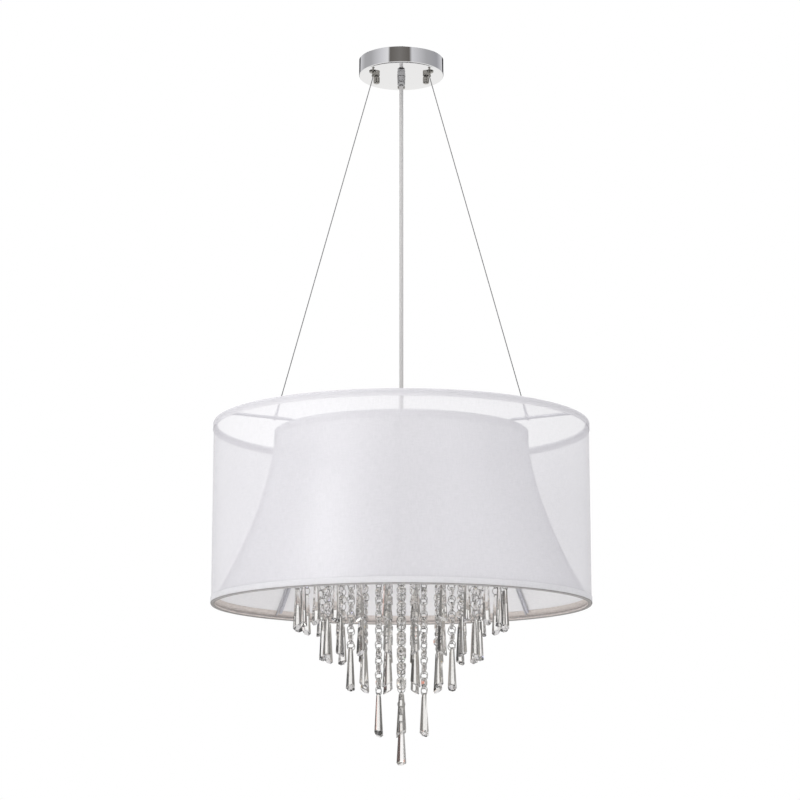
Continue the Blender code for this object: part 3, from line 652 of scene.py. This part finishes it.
def make_knurled_nut(side, x):
    """A cap nut with a diamond knurl pressed into its side."""
    columns, rows, knurl_depth = 32, 8, 0.92
    foot, head = -0.0368, -0.0263
    low, high = foot + 0.0011, head - 0.0011
    middle = (0.0, 0.0, (low + high) / 2)
    sizes = {"vertices": columns, "radius": 0.00485, "depth": high - low}
    nut = primitive("cap_nut_" + side, "cylinder", location=middle, **sizes)
    start_edit(nut, "EDGE")
    select_parts(nut, "edges", lambda edge: abs(edge.verts[0].co.z - edge.verts[1].co.z) > 0.001)
    bpy.ops.mesh.subdivide(number_cuts=rows - 1)
    bm = bmesh.from_edit_mesh(nut.data)
    for spot in bm.verts:
        row = round((spot.co.z - low) / (high - low) * rows)
        column = round(math.atan2(spot.co.y, spot.co.x) / math.tau * columns)
        if 0 < row < rows and (row + column) % 2:
            spot.co.xy *= knurl_depth
    bmesh.update_edit_mesh(nut.data)

    def at_end(face):
        return abs(face.normal.z) > 0.9 and len(face.verts) > 8

    bpy.ops.mesh.select_mode(type="FACE")
    select_parts(nut, "faces", at_end)
    bpy.ops.mesh.inset(thickness=0.0010, depth=0.0011)
    select_parts(nut, "faces", lambda face: at_end(face) and face.calc_center_median().z < low)
    bpy.ops.mesh.inset(thickness=0.0014, depth=-0.0003)
    end_edit()
    nut.data.transform(Matrix.Translation((x, 0.0, 0.0)))
    shade(nut, 20.0)
    finished(nut, nickel_painted_dark_reflection, ["knurled_nut_" + side], "knurled_nut_" + side)


def make_cord_grip():
    bore = cord_radius + seat_gap
    profile = [(bore, grip_top), (0.0048, grip_top), (0.0048, -0.0263), (0.0064, -0.0263), (0.00607, -0.0330)]
    profile += [(0.00575, -0.0333), (0.00575, -0.0336), (0.00604, -0.0339), (0.0058, grip_foot + 0.0024)]
    profile += [(0.0046, grip_foot + 0.0004), (0.0042, grip_foot), (bore, grip_foot)]
    grip = turned_piece("flex_grip", profile, steps=64, closed=True)
    shade(grip, 30.0)
    finished(grip, grip_chrome_painted_dark, ["cord_grip"])


def make_gripper(side, degrees):
    """Barrel, nut, flange, stub and release bead of a cable gripper, with the cable's tail above it."""
    bore = cable_radius + seat_gap
    profile = [(bore, -0.0125), (0.0034, -0.0125), (0.0038, -0.0129), (0.0038, -0.0217), (0.0065, -0.0217)]
    profile += [(0.0065, -0.0247), (0.0038, -0.0247), (0.0038, -0.0263), (0.0055, -0.0263), (0.0060, -0.0267)]
    profile += [(0.0060, -0.0271), (0.0052, -0.0279), (0.0015, -0.0279), (0.0015, -0.0318)]
    for step in range(1, 6):
        turn = math.radians(30 * step)
        profile.append((0.0013 + 0.0008 * math.sin(turn), -0.0333 + 0.0015 * math.cos(turn)))
    profile += [(bore, -0.0348)]
    gripper = turned_piece("gripper_" + side, profile, steps=32, closed=True)
    tail = wire_piece("tail", [Vector((0.0, 0.0, -0.0345)), Vector((0.0, 0.0, -0.0095))], cable_radius, sides=2)
    gripper = joined("gripper_" + side, [gripper, tail])
    gripper.data.transform(Matrix.Translation(polar(cable_circle, degrees)))
    shade(gripper, 35.0)
    finished(gripper, nickel_painted_dark_reflection, ["cable_gripper_" + side])


def make_hook(side, degrees):
    """The wire eye round an arm and the crimp sleeve above it."""
    eye, up, foot = hook_places(degrees)
    across = polar(1.0, degrees + 90.0)
    basis = Matrix((across, up.cross(across), up)).transposed().to_4x4()
    loop = torus("eye_loop", hook_eye_radius, hook_wire, 32, 10)
    loop.data.transform(Matrix.Translation(eye) @ basis @ Matrix.Rotation(math.pi / 2, 4, "X"))
    bore = cable_radius + seat_gap
    profile = [(0.0, 0.0), (0.0014, 0.0), (0.0018, 0.0004), (0.0018, 0.0034), (0.0015, 0.0044), (0.0015, 0.0052)]
    profile += [(0.0018, 0.0062), (0.0018, 0.0084), (0.0015, 0.0094), (0.0015, 0.0102), (0.0018, 0.0112)]
    profile += [(0.0018, 0.0126), (0.0015, sleeve_length), (bore, sleeve_length), (bore, 0.0040), (0.0, 0.0040)]
    sleeve = turned_piece("sleeve", profile, steps=20)
    sleeve.data.transform(Matrix.Translation(foot) @ basis)
    hook = joined("cable_eye_" + side, [loop, sleeve])
    shade(hook, 35.0)
    finished(hook, frame_steel, ["cable_hook_" + side])


make_canopy()
make_knurled_nut("left", -stud_spread)
make_knurled_nut("right", stud_spread)
make_cord_grip()
for side, degrees in cable_angles.items():
    make_gripper(side, degrees)
    make_hook(side, degrees)


# Wire frame of the shades

def bell_radius(height):
    fall = max(0.0, (bell_top - height) / (bell_top - bell_bottom))
    return bell_top_radius + (bell_bottom_radius - bell_top_radius) * fall ** bell_curve_power


def make_arm(side, degrees):
    corners = [
        polar(drum_radius - 0.0012, degrees, arm_height),
        polar(arm_leg_circle, degrees, arm_height),
        polar(arm_leg_circle, degrees, arm_height - arm_leg_depth),
        polar(hub_flat_radius + seat_gap, degrees, hub_centre),
    ]
    arm = wire_piece("bent_arm_" + side, bent_path(corners, [0.0043, 0.010]), arm_wire)
    finished(arm, frame_steel, ["arm_" + side])


def make_rib(side, degrees):
    low, high = bell_bottom + rib_wire, inner_ring_height - inner_ring_wire - seat_gap
    inset = 0.0011 + rib_wire
    points = []
    for step in range(25):
        height = high + (low - high) * step / 24
        slope = math.atan2(bell_radius(height - inset) - bell_radius(height), inset)
        points.append(polar(bell_radius(height) - inset / math.cos(slope), degrees, height))
    rib = wire_piece("bell_rib_" + side, points, rib_wire)
    finished(rib, frame_steel, ["rib_" + side])


for name, circle, height, wire, node in (
    ("top_wire", outer_ring_circle, outer_ring_height, outer_ring_wire, "outer_top_ring"),
    ("bell_wire", inner_ring_circle, inner_ring_height, inner_ring_wire, "inner_top_ring"),
    ("bottom_wire", outer_ring_circle, bottom_ring_height, outer_ring_wire, "bottom_ring"),
):
    finished(ring_piece(name, circle, wire, height), frame_steel, [node])
for side, degrees in cable_angles.items():
    make_arm(side, degrees)
for side, degrees in rib_angles.items():
    make_rib(side, degrees)


# Shades, hems and seams

def drum_wall(height):
    """The drum's radius, which is the same at every height."""
    return drum_radius


def down_profile(radius_at, top, bottom, levels, shift):
    """Radius and height pairs down a shade, with its radius shifted."""
    heights = [top + (bottom - top) * level / levels for level in range(levels + 1)]
    return [(radius_at(height) + shift, height) for height in heights]


def finished_cloth(cloth, map_radius, degrees, material, replaced=()):
    map_round(cloth, map_radius)
    shade(cloth, degrees)
    return finished(cloth, material, replaced)


def make_shade(name, profile, map_radius, material, replaced):
    cloth = turned_piece(name, profile, steps=180)
    face_outwards(cloth)
    return finished_cloth(cloth, map_radius, 80.0, material, [replaced])


def make_hem(name, low_end, material, node):
    """A strip of cloth folded round a wire ring of the drum."""
    outside, wall = drum_radius + 0.0007, hem_thickness
    inside, held = outer_ring_circle - outer_ring_wire - 0.0009, drum_radius - 0.0016
    fold = [(outside - 0.0002, 0.0105), (outside, 0.0102), (outside, 0.0020), (outside - 0.0008, 0.0006)]
    fold += [(outside - 0.0022, -0.0002), (inside + 0.0016, -0.0001), (inside + 0.0004, 0.0012)]
    if low_end:
        # The lower hem's inner leg lies on the inside of the bell's cloth
        leg = [(bell_radius(drum_bottom + height) - 0.0008, height) for height in (0.0050, 0.0078, 0.0106, 0.0132)]
        fold += [(inside, 0.0028)] + leg + [(leg[-1][0] + 0.0002, 0.0134)]
        back = [(radius + 0.0004, height) for radius, height in reversed(leg)] + [(inside + wall, 0.0029)]
    else:
        fold += [(inside, 0.0030), (inside + 0.0006, 0.0054), (held - 0.0008, 0.0074), (held, 0.0098)]
        back = [(held + wall, 0.0098), (held + wall - 0.0006, 0.0076), (inside + 0.0012, 0.0056)]
        back += [(inside + wall, 0.0031)]
    back += [(inside + 0.0009, 0.0016), (inside + 0.0019, 0.0004), (outside - 0.0023, 0.0003)]
    back += [(outside - 0.0013, 0.0010), (outside - wall, 0.0022), (outside - wall, 0.0103)]
    base, way = (drum_bottom, 1.0) if low_end else (drum_top, -1.0)
    profile = [(radius, base + way * height) for radius, height in fold + back]
    hem = turned_piece(name, profile, steps=180, closed=True)
    finished_cloth(hem, drum_radius, 50.0, material, [node])
    if low_end:
        for cloth in (lining_painted_shade, hem_edge_painted_shade):
            hem.data.materials.append(cloth)
        # The lowest faces get the painted shadow colour, the inside leg the darker painted-shade taupe
        for face in hem.data.polygons:
            if face.center.z < drum_bottom + 0.0016:
                face.material_index = 2
            elif face.center.xy.length < held:
                face.material_index = 1
    return hem


def make_bell_band():
    """The tape folded over the bell's top wire."""
    outside = [(bell_radius(bell_top - 0.010 * step / 4) + 0.0004, bell_top - 0.010 * step / 4) for step in range(5)]
    top = [(bell_top_radius - 0.0012, bell_top + 0.0006), (inner_ring_circle - 0.0006, bell_top + 0.0009)]
    inside = inner_ring_circle - inner_ring_wire - 0.0009
    within = [(inside, bell_top - 0.0010), (inside, bell_top - 0.0080), (inside + 0.0005, bell_top - 0.0080)]
    within += [(inside + 0.0005, bell_top - 0.0012), (inner_ring_circle, bell_top + 0.0003)]
    back = [(radius - 0.0005, height) for radius, height in outside]
    profile = list(reversed(outside)) + top + within + back
    band = turned_piece("bell_band", profile, steps=180, closed=True)
    return finished_cloth(band, bell_top_radius, 50.0, hem_cloth)


def make_strip(name, profile, degrees, width, offset, material):
    """A narrow strip of cloth down a shade, thickened to the outside where offset is 1."""
    half = width / 2 / bell_bottom_radius
    strip = turned_piece(name, profile, steps=4, sweep=2 * half, start=math.radians(degrees) - half)
    if offset:
        face_outwards(strip)
    apply_modifier(strip, "SOLIDIFY", thickness=0.0003, offset=offset)
    return finished_cloth(strip, bell_bottom_radius, 50.0, material)


drum_profile = down_profile(drum_wall, drum_top, drum_bottom, 12, -0.0003)
drum_cloth = make_shade("drum_cloth", drum_profile, drum_radius, sheer_cloth, "outer_shade")
bell_profile = down_profile(bell_radius, bell_top, bell_bottom, 28, -0.0003)
bell_sheet = make_shade("bell_cloth", bell_profile, bell_map_radius, bell_cloth, "inner_shade")
# The tapes that hold the ribs to the inside of the bell
tape_profile = down_profile(bell_radius, bell_top - 0.011, bell_bottom + 0.004, 20, -0.0040)
rib_tapes = [
    make_strip("rib_tape_" + side, tape_profile, degrees, 0.0058, 0.0, binding_tape)
    for side, degrees in rib_angles.items()
]
top_hem = make_hem("top_hem", False, top_hem_painted_light, "top_tape")
bottom_hem = make_hem("bottom_hem", True, hem_cloth, "bottom_tape")
bell_band = make_bell_band()
# Where each cloth's two ends overlap
seam_profile = down_profile(bell_radius, bell_top - 0.0105, bell_bottom + 0.001, 20, 0.0002)
bell_seam = make_strip("bell_seam", seam_profile, -90.5, 0.007, 1.0, bell_cloth)
seam_profile = down_profile(drum_wall, drum_top - 0.0115, drum_bottom + 0.0115, 20, 0.0002)
drum_seam = make_strip("drum_seam", seam_profile, 90.0, 0.008, 1.0, sheer_cloth)


# Lamp hub, lampholders and bulbs

def make_hub():
    half = hub_half_height
    bore = cord_radius + seat_gap
    profile = [(0.0, half - 0.005), (bore, half - 0.005), (bore, half), (0.0085, half), (0.0095, half - 0.0012)]
    profile += [(hub_radius - 0.003, half - 0.0012), (hub_flat_radius, half - 0.0032)]
    profile += [(hub_flat_radius, -half + 0.003), (hub_radius - 0.003, -half), (0.0, -half)]
    hub = turned_piece("hub_body", profile, steps=72)
    apply_modifier(hub, "BEVEL", width=0.0004, segments=2, limit_method="ANGLE", angle_limit=math.radians(30.0))
    hub.data.transform(Matrix.Translation((0.0, 0.0, hub_centre)))
    shade(hub, 35.0)
    finished(hub, white_plastic, ["lamp_hub"])


def lamp_matrix(degrees):
    """A lampholder's place on the hub, its own Z pointing out along its lamp."""
    turned = Euler((0.0, math.pi / 2, math.radians(degrees)))
    return Matrix.LocRotScale(polar(hub_flat_radius, degrees, hub_centre), turned, None)


def make_lampholder(side, degrees):
    foot, tip, bore = seat_gap, seat_gap + 0.040, 0.0136
    profile = [(0.0, 0.0128), (bore, 0.0128), (bore, tip - 0.0004), (bore + 0.0005, tip), (0.0185, tip)]
    profile += [(0.019, tip - 0.0005), (0.019, tip - 0.0075), (0.0185, tip - 0.008), (0.0172, tip - 0.0082)]
    for rib in range(4):
        height = tip - 0.0095 - 0.0045 * rib
        profile += [(0.0170, height), (0.0166, height - 0.0008), (0.0166, height - 0.0014), (0.0170, height - 0.0022)]
    profile += [(0.0170, foot + 0.010), (0.0125, foot + 0.0006), (0.0120, foot), (0.0, foot)]
    holder = turned_piece("holder_" + side, profile, steps=64)
    holder.data.transform(lamp_matrix(degrees))
    shade(holder, 35.0)
    finished(holder, white_plastic, ["lampholder_" + side])


def make_bulb(side, degrees):
    """An opal bulb on a threaded cap."""
    seat, reach, glass_radius, threads, arc_steps = 0.0406, 0.084, 0.030, 6, 12
    centre = seat + reach - glass_radius
    cap = [(0.0, seat - 0.0270), (0.0035, seat - 0.0270), (0.0050, seat - 0.0255), (0.0080, seat - 0.0240)]
    cap += [(0.0118, seat - 0.0225)]
    for thread in range(threads):
        height = seat - 0.0215 + 0.0032 * thread
        cap += [(0.0116, height), (0.0124, height + 0.0008), (0.0124, height + 0.0016), (0.0116, height + 0.0024)]
    cap += [(0.0118, seat - 0.0020), (0.0126, seat + 0.0002), (0.0, seat + 0.0002)]
    cap_piece = turned_piece("bulb_cap_" + side, cap, steps=48)
    glass = [(0.0, seat + 0.0003), (0.0124, seat + 0.0003), (0.0126, seat + 0.0080), (0.0140, seat + 0.0170)]
    for step in range(arc_steps):
        turn = math.radians(140 - 140 * step / arc_steps)
        glass.append((glass_radius * math.sin(turn), centre + glass_radius * math.cos(turn)))
    glass.append((0.0, centre + glass_radius))
    globe = turned_piece("bulb_globe_" + side, glass, steps=64)
    for piece, material, replaced in ((globe, opal_glass, ["bulb_" + side]), (cap_piece, cap_nickel, [])):
        piece.data.transform(lamp_matrix(degrees))
        shade(piece, 40.0)
        finished(piece, material, replaced, "bulb_" + side)


make_hub()
for side, degrees in lamp_angles.items():
    make_lampholder(side, degrees)
    make_bulb(side, degrees)


# Strand frame

def make_strand_frame():
    foot, neck = boss_bottom, hub_centre - hub_half_height - seat_gap
    spoke_root, spoke_reach = 0.0106, 0.1572
    profile = [(0.0, neck), (0.0050, neck), (0.0050, foot + 0.0190), (0.0060, foot + 0.0175)]
    profile += [(0.0110, foot + 0.0170), (0.0120, foot + 0.0160), (0.0120, foot + 0.0006), (0.0114, foot)]
    profile += [(0.0092, foot), (0.0088, foot + 0.0004), (0.0088, foot + 0.0115), (0.0, foot + 0.0115)]
    pieces = [turned_piece("stem", profile, steps=64)]
    for index in range(6):
        ends = [polar(reach, 60.0 * index, spoke_height) for reach in (spoke_root, spoke_reach)]
        pieces.append(wire_piece("spoke", ends, frame_wire))
    for ring in (1, 2):
        circle = ring * strand_ring_pitch
        pieces.append(ring_piece("ring", circle, frame_wire, strand_plane, steps=96, sides=8))
    ends = [Vector((0.0, end, pin_height)) for end in (-0.0105, 0.0105)]
    pieces.append(wire_piece("pin", ends, pin_wire))
    whole = joined("crystal_frame", pieces)
    shade(whole, 35.0)
    finished(whole, frame_steel, ["strand_frame"])


make_strand_frame()


# Crystals: an octagon, two prisms and an open ring, then all the strands from their copies

def make_octagon():
    """A flat octagon with a row of facets round its table on both faces, its axis along X."""
    radius, girdle = octagon_half / math.cos(math.pi / 8), 0.0010
    facet_width, crown = 0.0031, 0.0024
    octagon = primitive("octagon", "cylinder", vertices=8, radius=radius, depth=girdle)
    octagon.data.transform(Matrix.Rotation(math.pi / 8, 4, "Z"))
    start_edit(octagon)
    select_parts(octagon, "faces", lambda face: abs(face.normal.z) > 0.9)
    bpy.ops.mesh.inset(thickness=facet_width, depth=crown, use_individual=True)
    end_edit()
    octagon.data.transform(Matrix.Rotation(math.pi / 2, 4, "Y"))
    return octagon


def make_prism(cut_rise, facing):
    """A long six-sided prism, wider at its foot, with a shoulder and a slanted, bevelled cut."""
    shoulder, shoulder_inset, cut_bevel = 0.004, 0.0017, 0.0009
    body = prism_length - shoulder
    middle = (0.0, 0.0, -shoulder - body / 2)
    sizes = {"vertices": 6, "radius1": prism_foot_radius, "radius2": prism_top_radius, "depth": body}
    prism = primitive("prism", "cone", location=middle, **sizes)
    start_edit(prism)
    select_parts(prism, "faces", lambda face: face.normal.z > 0.9)
    bpy.ops.mesh.inset(thickness=shoulder_inset, depth=shoulder)
    bpy.ops.mesh.select_all(action="SELECT")
    slope = cut_rise / 2 / prism_foot_radius
    bpy.ops.mesh.bisect(
        plane_co=(0.0, 0.0, -prism_length + cut_rise / 2),
        plane_no=(slope * facing[0], slope * facing[1], -1.0),
        use_fill=True,
        clear_outer=True,
    )
    bpy.ops.mesh.select_mode(type="EDGE")
    low = -prism_length + cut_rise * 1.1
    select_parts(prism, "edges", lambda edge: all(spot.co.z < low for spot in edge.verts))
    bpy.ops.mesh.bevel(offset=cut_bevel, segments=1)
    end_edit()
    prism.data.transform(Matrix.Diagonal((prism_flatness, 1.0, 1.0, 1.0)))
    return prism


def make_jump_ring():
    ring = torus("jump_ring", jump_ring_radius, jump_ring_wire, 16, 5)
    ring.data.transform(Matrix.Rotation(math.pi / 2, 4, "X"))
    shade(ring, 80.0)
    return ring


octagon_pattern = make_octagon()
prism_pattern = make_prism(0.0085, (0.0, -1.0))
middle_prism = make_prism(0.0060, (-1.0, 0.0))
ring_pattern = make_jump_ring()
drift = random.Random(7)
ring_drift, octagon_drift, prism_drift = 12.0, 22.0, 20.0
middle_prism_turn = 106.0


def hung(base, height, degrees):
    """A place on a strand, turned about it."""
    return base @ (Matrix.Translation((0.0, 0.0, height)) @ Matrix.Rotation(math.radians(degrees), 4, "Z"))


def make_strand(name, octagons, bar, place, degrees, prism_facing):
    """The crystals and the open rings of one strand, from the bar that it hangs on down."""
    base = hung(Matrix.Translation(place), 0.0, degrees)
    first_ring = bar + seat_gap - (jump_ring_radius - 0.00035)
    crystals, rings = [], []
    for count in range(octagons + 1):
        height = first_ring - link_pitch * count
        turn = drift.uniform(-ring_drift, ring_drift) if count else 0.0
        rings.append(placed_copy(ring_pattern, hung(base, height, turn)))
        if count < octagons:
            turn = drift.uniform(-octagon_drift, octagon_drift)
            crystals.append(placed_copy(octagon_pattern, hung(base, height - link_pitch / 2, turn)))
    turn, pattern = prism_facing + drift.uniform(-prism_drift, prism_drift), prism_pattern
    if name == "middle":
        turn, pattern = middle_prism_turn, middle_prism
    crystals.append(placed_copy(pattern, hung(base, height - prism_hang, turn)))
    return joined("crystals_" + name, crystals), joined("links_" + name, rings)


for ring_index, (ring_name, count, start, octagons, height) in enumerate(strand_rings):
    bar = frame_wire if ring_index else pin_wire
    made = []
    for index in range(count):
        degrees = start + 360.0 * index / count
        name = f"{ring_name}_{index + 1:02d}" if ring_index else ring_name
        place = polar(ring_index * strand_ring_pitch, degrees, height)
        crystals, links = make_strand(name, octagons, bar, place, degrees, 0.0 if index % 2 else 180.0)
        made.append((crystals, links))
        if ring_index < 3:
            finished(crystals, crystal, ["strand_" + name], "strand_" + name)
            finished(links, ring_chrome, body="strand_" + name)
    if ring_index > 2:
        crystals, links = (list(pieces) for pieces in zip(*made))
        whole = joined("crystals_" + ring_name, crystals)
        finished(whole, crystal, ["strand_ring_" + ring_name])
        finished(joined("links_" + ring_name, links), ring_chrome)
        carrier = ring_piece(
            "carrier_" + ring_name, ring_index * strand_ring_pitch, frame_wire, hung_ring_height, steps=144, sides=8
        )
        finished(carrier, frame_steel)
for pattern in (octagon_pattern, prism_pattern, middle_prism, ring_pattern):
    bpy.data.objects.remove(pattern, do_unlink=True)


# Fittings that keep their frame solids

for node, material in (("mounting_strap", zinc), ("grip_locknut", zinc), ("terminal_block", white_plastic)):
    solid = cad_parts[node]
    solid.data.materials.clear()
    solid.data.materials.append(material)


# Two cores from the flex's end over to the terminal block

tail_bend, tail_rise = 0.0045, 0.0050
for index, side in enumerate((-1, 1)):
    points = [Vector((side * 0.0011, 0.0, grip_top - 0.002)), Vector((side * 0.0011, 0.0, grip_top + tail_rise))]
    points += [Vector((side * 0.0045, 0.0177, grip_top + tail_rise))]
    core = wire_piece(f"core_tail_{index + 1}", bent_path(points, [tail_bend]), core_radius, sides=2)
    finished(core, tinned_copper)


# Floor, lamps and the white surroundings

def make_floor():
    floor = primitive("pale_floor", "plane", size=16.0, location=(0.0, 0.0, -2.45))
    material, tree, shader = new_material("pale_floor", 0.93, roughness=0.9)
    rays = add_node(tree, "LightPath")
    behind = add_node(tree, "NewGeometry").outputs["Backfacing"]
    unseen = math_node(tree, "MAXIMUM", behind, rays.outputs["Is Glossy Ray"])
    clear = add_node(tree, "BsdfTransparent")
    mix = add_node(tree, "MixShader", {0: unseen, 1: shader.outputs[0], 2: clear.outputs[0]})
    feed(tree, tree.nodes["Material Output"], {"Surface": mix.outputs[0]})
    glow = mixed_colour(tree, rays.outputs["Is Camera Ray"], 0.0, 0.34)
    feed(tree, shader, {"Emission Color": glow, "Emission Strength": 1.0})
    floor.data.materials.append(material)


def make_lamp(name, place, size, power, colour=(1.0, 1.0, 1.0)):
    """A softbox aimed at the middle of the drum, unseen in metal and glass."""
    aim = (0.0, 0.0, -0.70)
    data = bpy.data.lights.new(name, "AREA")
    data.shape = "RECTANGLE"
    data.size, data.size_y = size
    data.energy = power
    data.color = colour
    lamp = bpy.data.objects.new(name, data)
    bpy.context.scene.collection.objects.link(lamp)
    lamp.location = place
    lamp.rotation_euler = (Vector(aim) - Vector(place)).to_track_quat("-Z", "Y").to_euler()
    lamp.visible_glossy = False
    lamp.visible_transmission = False


def make_surroundings():
    """White for the camera, plain light for cloth, and a room with dark and bright fields for metal and glass."""
    world = bpy.data.worlds.new("studio")
    bpy.context.scene.world = world
    world.use_nodes = True
    tree = world.node_tree
    paths = add_node(tree, "LightPath")
    way = add_node(tree, "TexCoord").outputs["Generated"]
    split = add_node(tree, "SeparateXYZ", {0: way})
    x, y, z = (split.outputs[axis] for axis in "XYZ")
    share = math_node(tree, "ADD", math_node(tree, "DIVIDE", math_node(tree, "ARCTAN2", y, x), math.tau), 0.5)
    dark, grey, pale, black = (0.14, 0.13, 0.12), (0.42, 0.42, 0.43), (0.68, 0.68, 0.70), 0.01
    walls = ramp_node(
        tree,
        share,
        (
            (0.00, grey), (0.10, pale), (0.15, (0.80, 0.80, 0.81)), (0.165, dark), (0.24, (0.20, 0.19, 0.18)),
            (0.31, dark), (0.33, pale), (0.45, grey), (0.56, (0.36, 0.36, 0.38)), (0.655, pale), (0.665, black),
            (0.70, black), (0.72, pale), (0.78, pale), (0.80, black), (0.835, black), (0.845, pale), (0.93, grey),
        ),
    )
    below = ramp_node(tree, z, ((0.0, 1.0), (0.02, 0.0)))
    deep, near = math_node(tree, "LESS_THAN", z, -0.60), math_node(tree, "LESS_THAN", y, 0.35)
    pale_ground, dark_ground = (0.93, 0.925, 0.91), 0.10
    ground = mixed_colour(tree, times(tree, deep, near), pale_ground, dark_ground)
    # High softboxes to both sides, which the bell's flared cloth mirrors and the upright canopy doesn't
    high = times(tree, math_node(tree, "SUBTRACT", z, 0.50), 8.0, clamp=True)
    boxes = ((0.0, 0.8), (0.03, 1.0), (0.085, 1.0), (0.125, 0.0), (0.33, 0.0), (0.38, 0.25), (0.60, 0.35), (0.66, 0.0))
    aside = ramp_node(tree, share, boxes)
    walls = mixed_colour(tree, times(tree, high, aside), walls, 3.5)
    mirror = mixed_colour(tree, below, walls, ground)
    # Through glass, grey to both sides and pale ahead, with a few black, bright and coloured fields
    stretch = add_node(tree, "Mapping", {"Vector": way, "Scale": (1.0, 1.0, 0.30), "Location": (3.1, 1.7, 0.4)})
    cells = add_node(tree, "TexVoronoi", {"Vector": stretch.outputs["Vector"], "Scale": 9.0})
    tint = add_node(tree, "SeparateColor", {0: cells.outputs["Color"]})
    sideways = math_node(tree, "ADD", times(tree, x, 0.5), 0.5)
    room = ramp_node(
        tree,
        sideways,
        (
            (0.0, (0.15, 0.145, 0.14)), (0.20, (0.17, 0.165, 0.155)), (0.36, (0.29, 0.28, 0.265)),
            (0.47, (0.85, 0.85, 0.83)), (0.54, (0.85, 0.84, 0.81)), (0.66, (0.46, 0.41, 0.37)),
            (0.85, (0.19, 0.185, 0.175)), (1.0, (0.15, 0.145, 0.14)),
        ),
    )
    shades = ((0.0, 0.04), (0.10, 0.7), (0.30, 1.0), (0.60, 1.7))
    fields = ramp_node(tree, tint.outputs[0], shades, step=True)
    room = mixed_colour(tree, 1.0, room, fields, "MULTIPLY")
    glints = (
        (0.0, 0.0), (0.950, (0.0, 0.0, 0.60)), (0.962, (0.75, 0.45, 0.0)),
        (0.976, (0.60, 0.08, 0.0)), (0.983, (0.0, 0.45, 0.15)), (0.988, 0.0),
    )
    room = mixed_colour(tree, 1.0, room, ramp_node(tree, tint.outputs[0], glints, step=True), "ADD")
    steep = math_node(tree, "LESS_THAN", z, -0.22)
    bright = times(tree, steep, math_node(tree, "GREATER_THAN", tint.outputs[1], 0.25))
    room = mixed_colour(tree, bright, room, (0.60, 0.59, 0.575))
    straight = ramp_node(tree, y, ((0.955, 0.0), (0.972, 1.0)))
    room = mixed_colour(tree, straight, room, 1.0)
    seen = (0.70, 0.70, 0.715)
    for ray, colour in (("Is Glossy Ray", mirror), ("Is Transmission Ray", room), ("Is Camera Ray", 1.0)):
        seen = mixed_colour(tree, paths.outputs[ray], seen, colour)
    feed(tree, tree.nodes["Background"], {"Color": seen, "Strength": 1.0})


make_floor()
make_lamp("key_softbox", (-2.6, -2.0, 0.2), (2.6, 4.2), 40.0)
make_lamp("fill_softbox", (2.8, -2.2, -0.4), (2.6, 3.6), 9.0)
make_lamp("top_softbox", (0.0, -0.6, 1.8), (2.4, 2.4), 18.0)
make_lamp("low_softbox", (0.0, -0.3, -2.3), (2.4, 2.4), 19.0, (1.0, 0.965, 0.925))
make_surroundings()
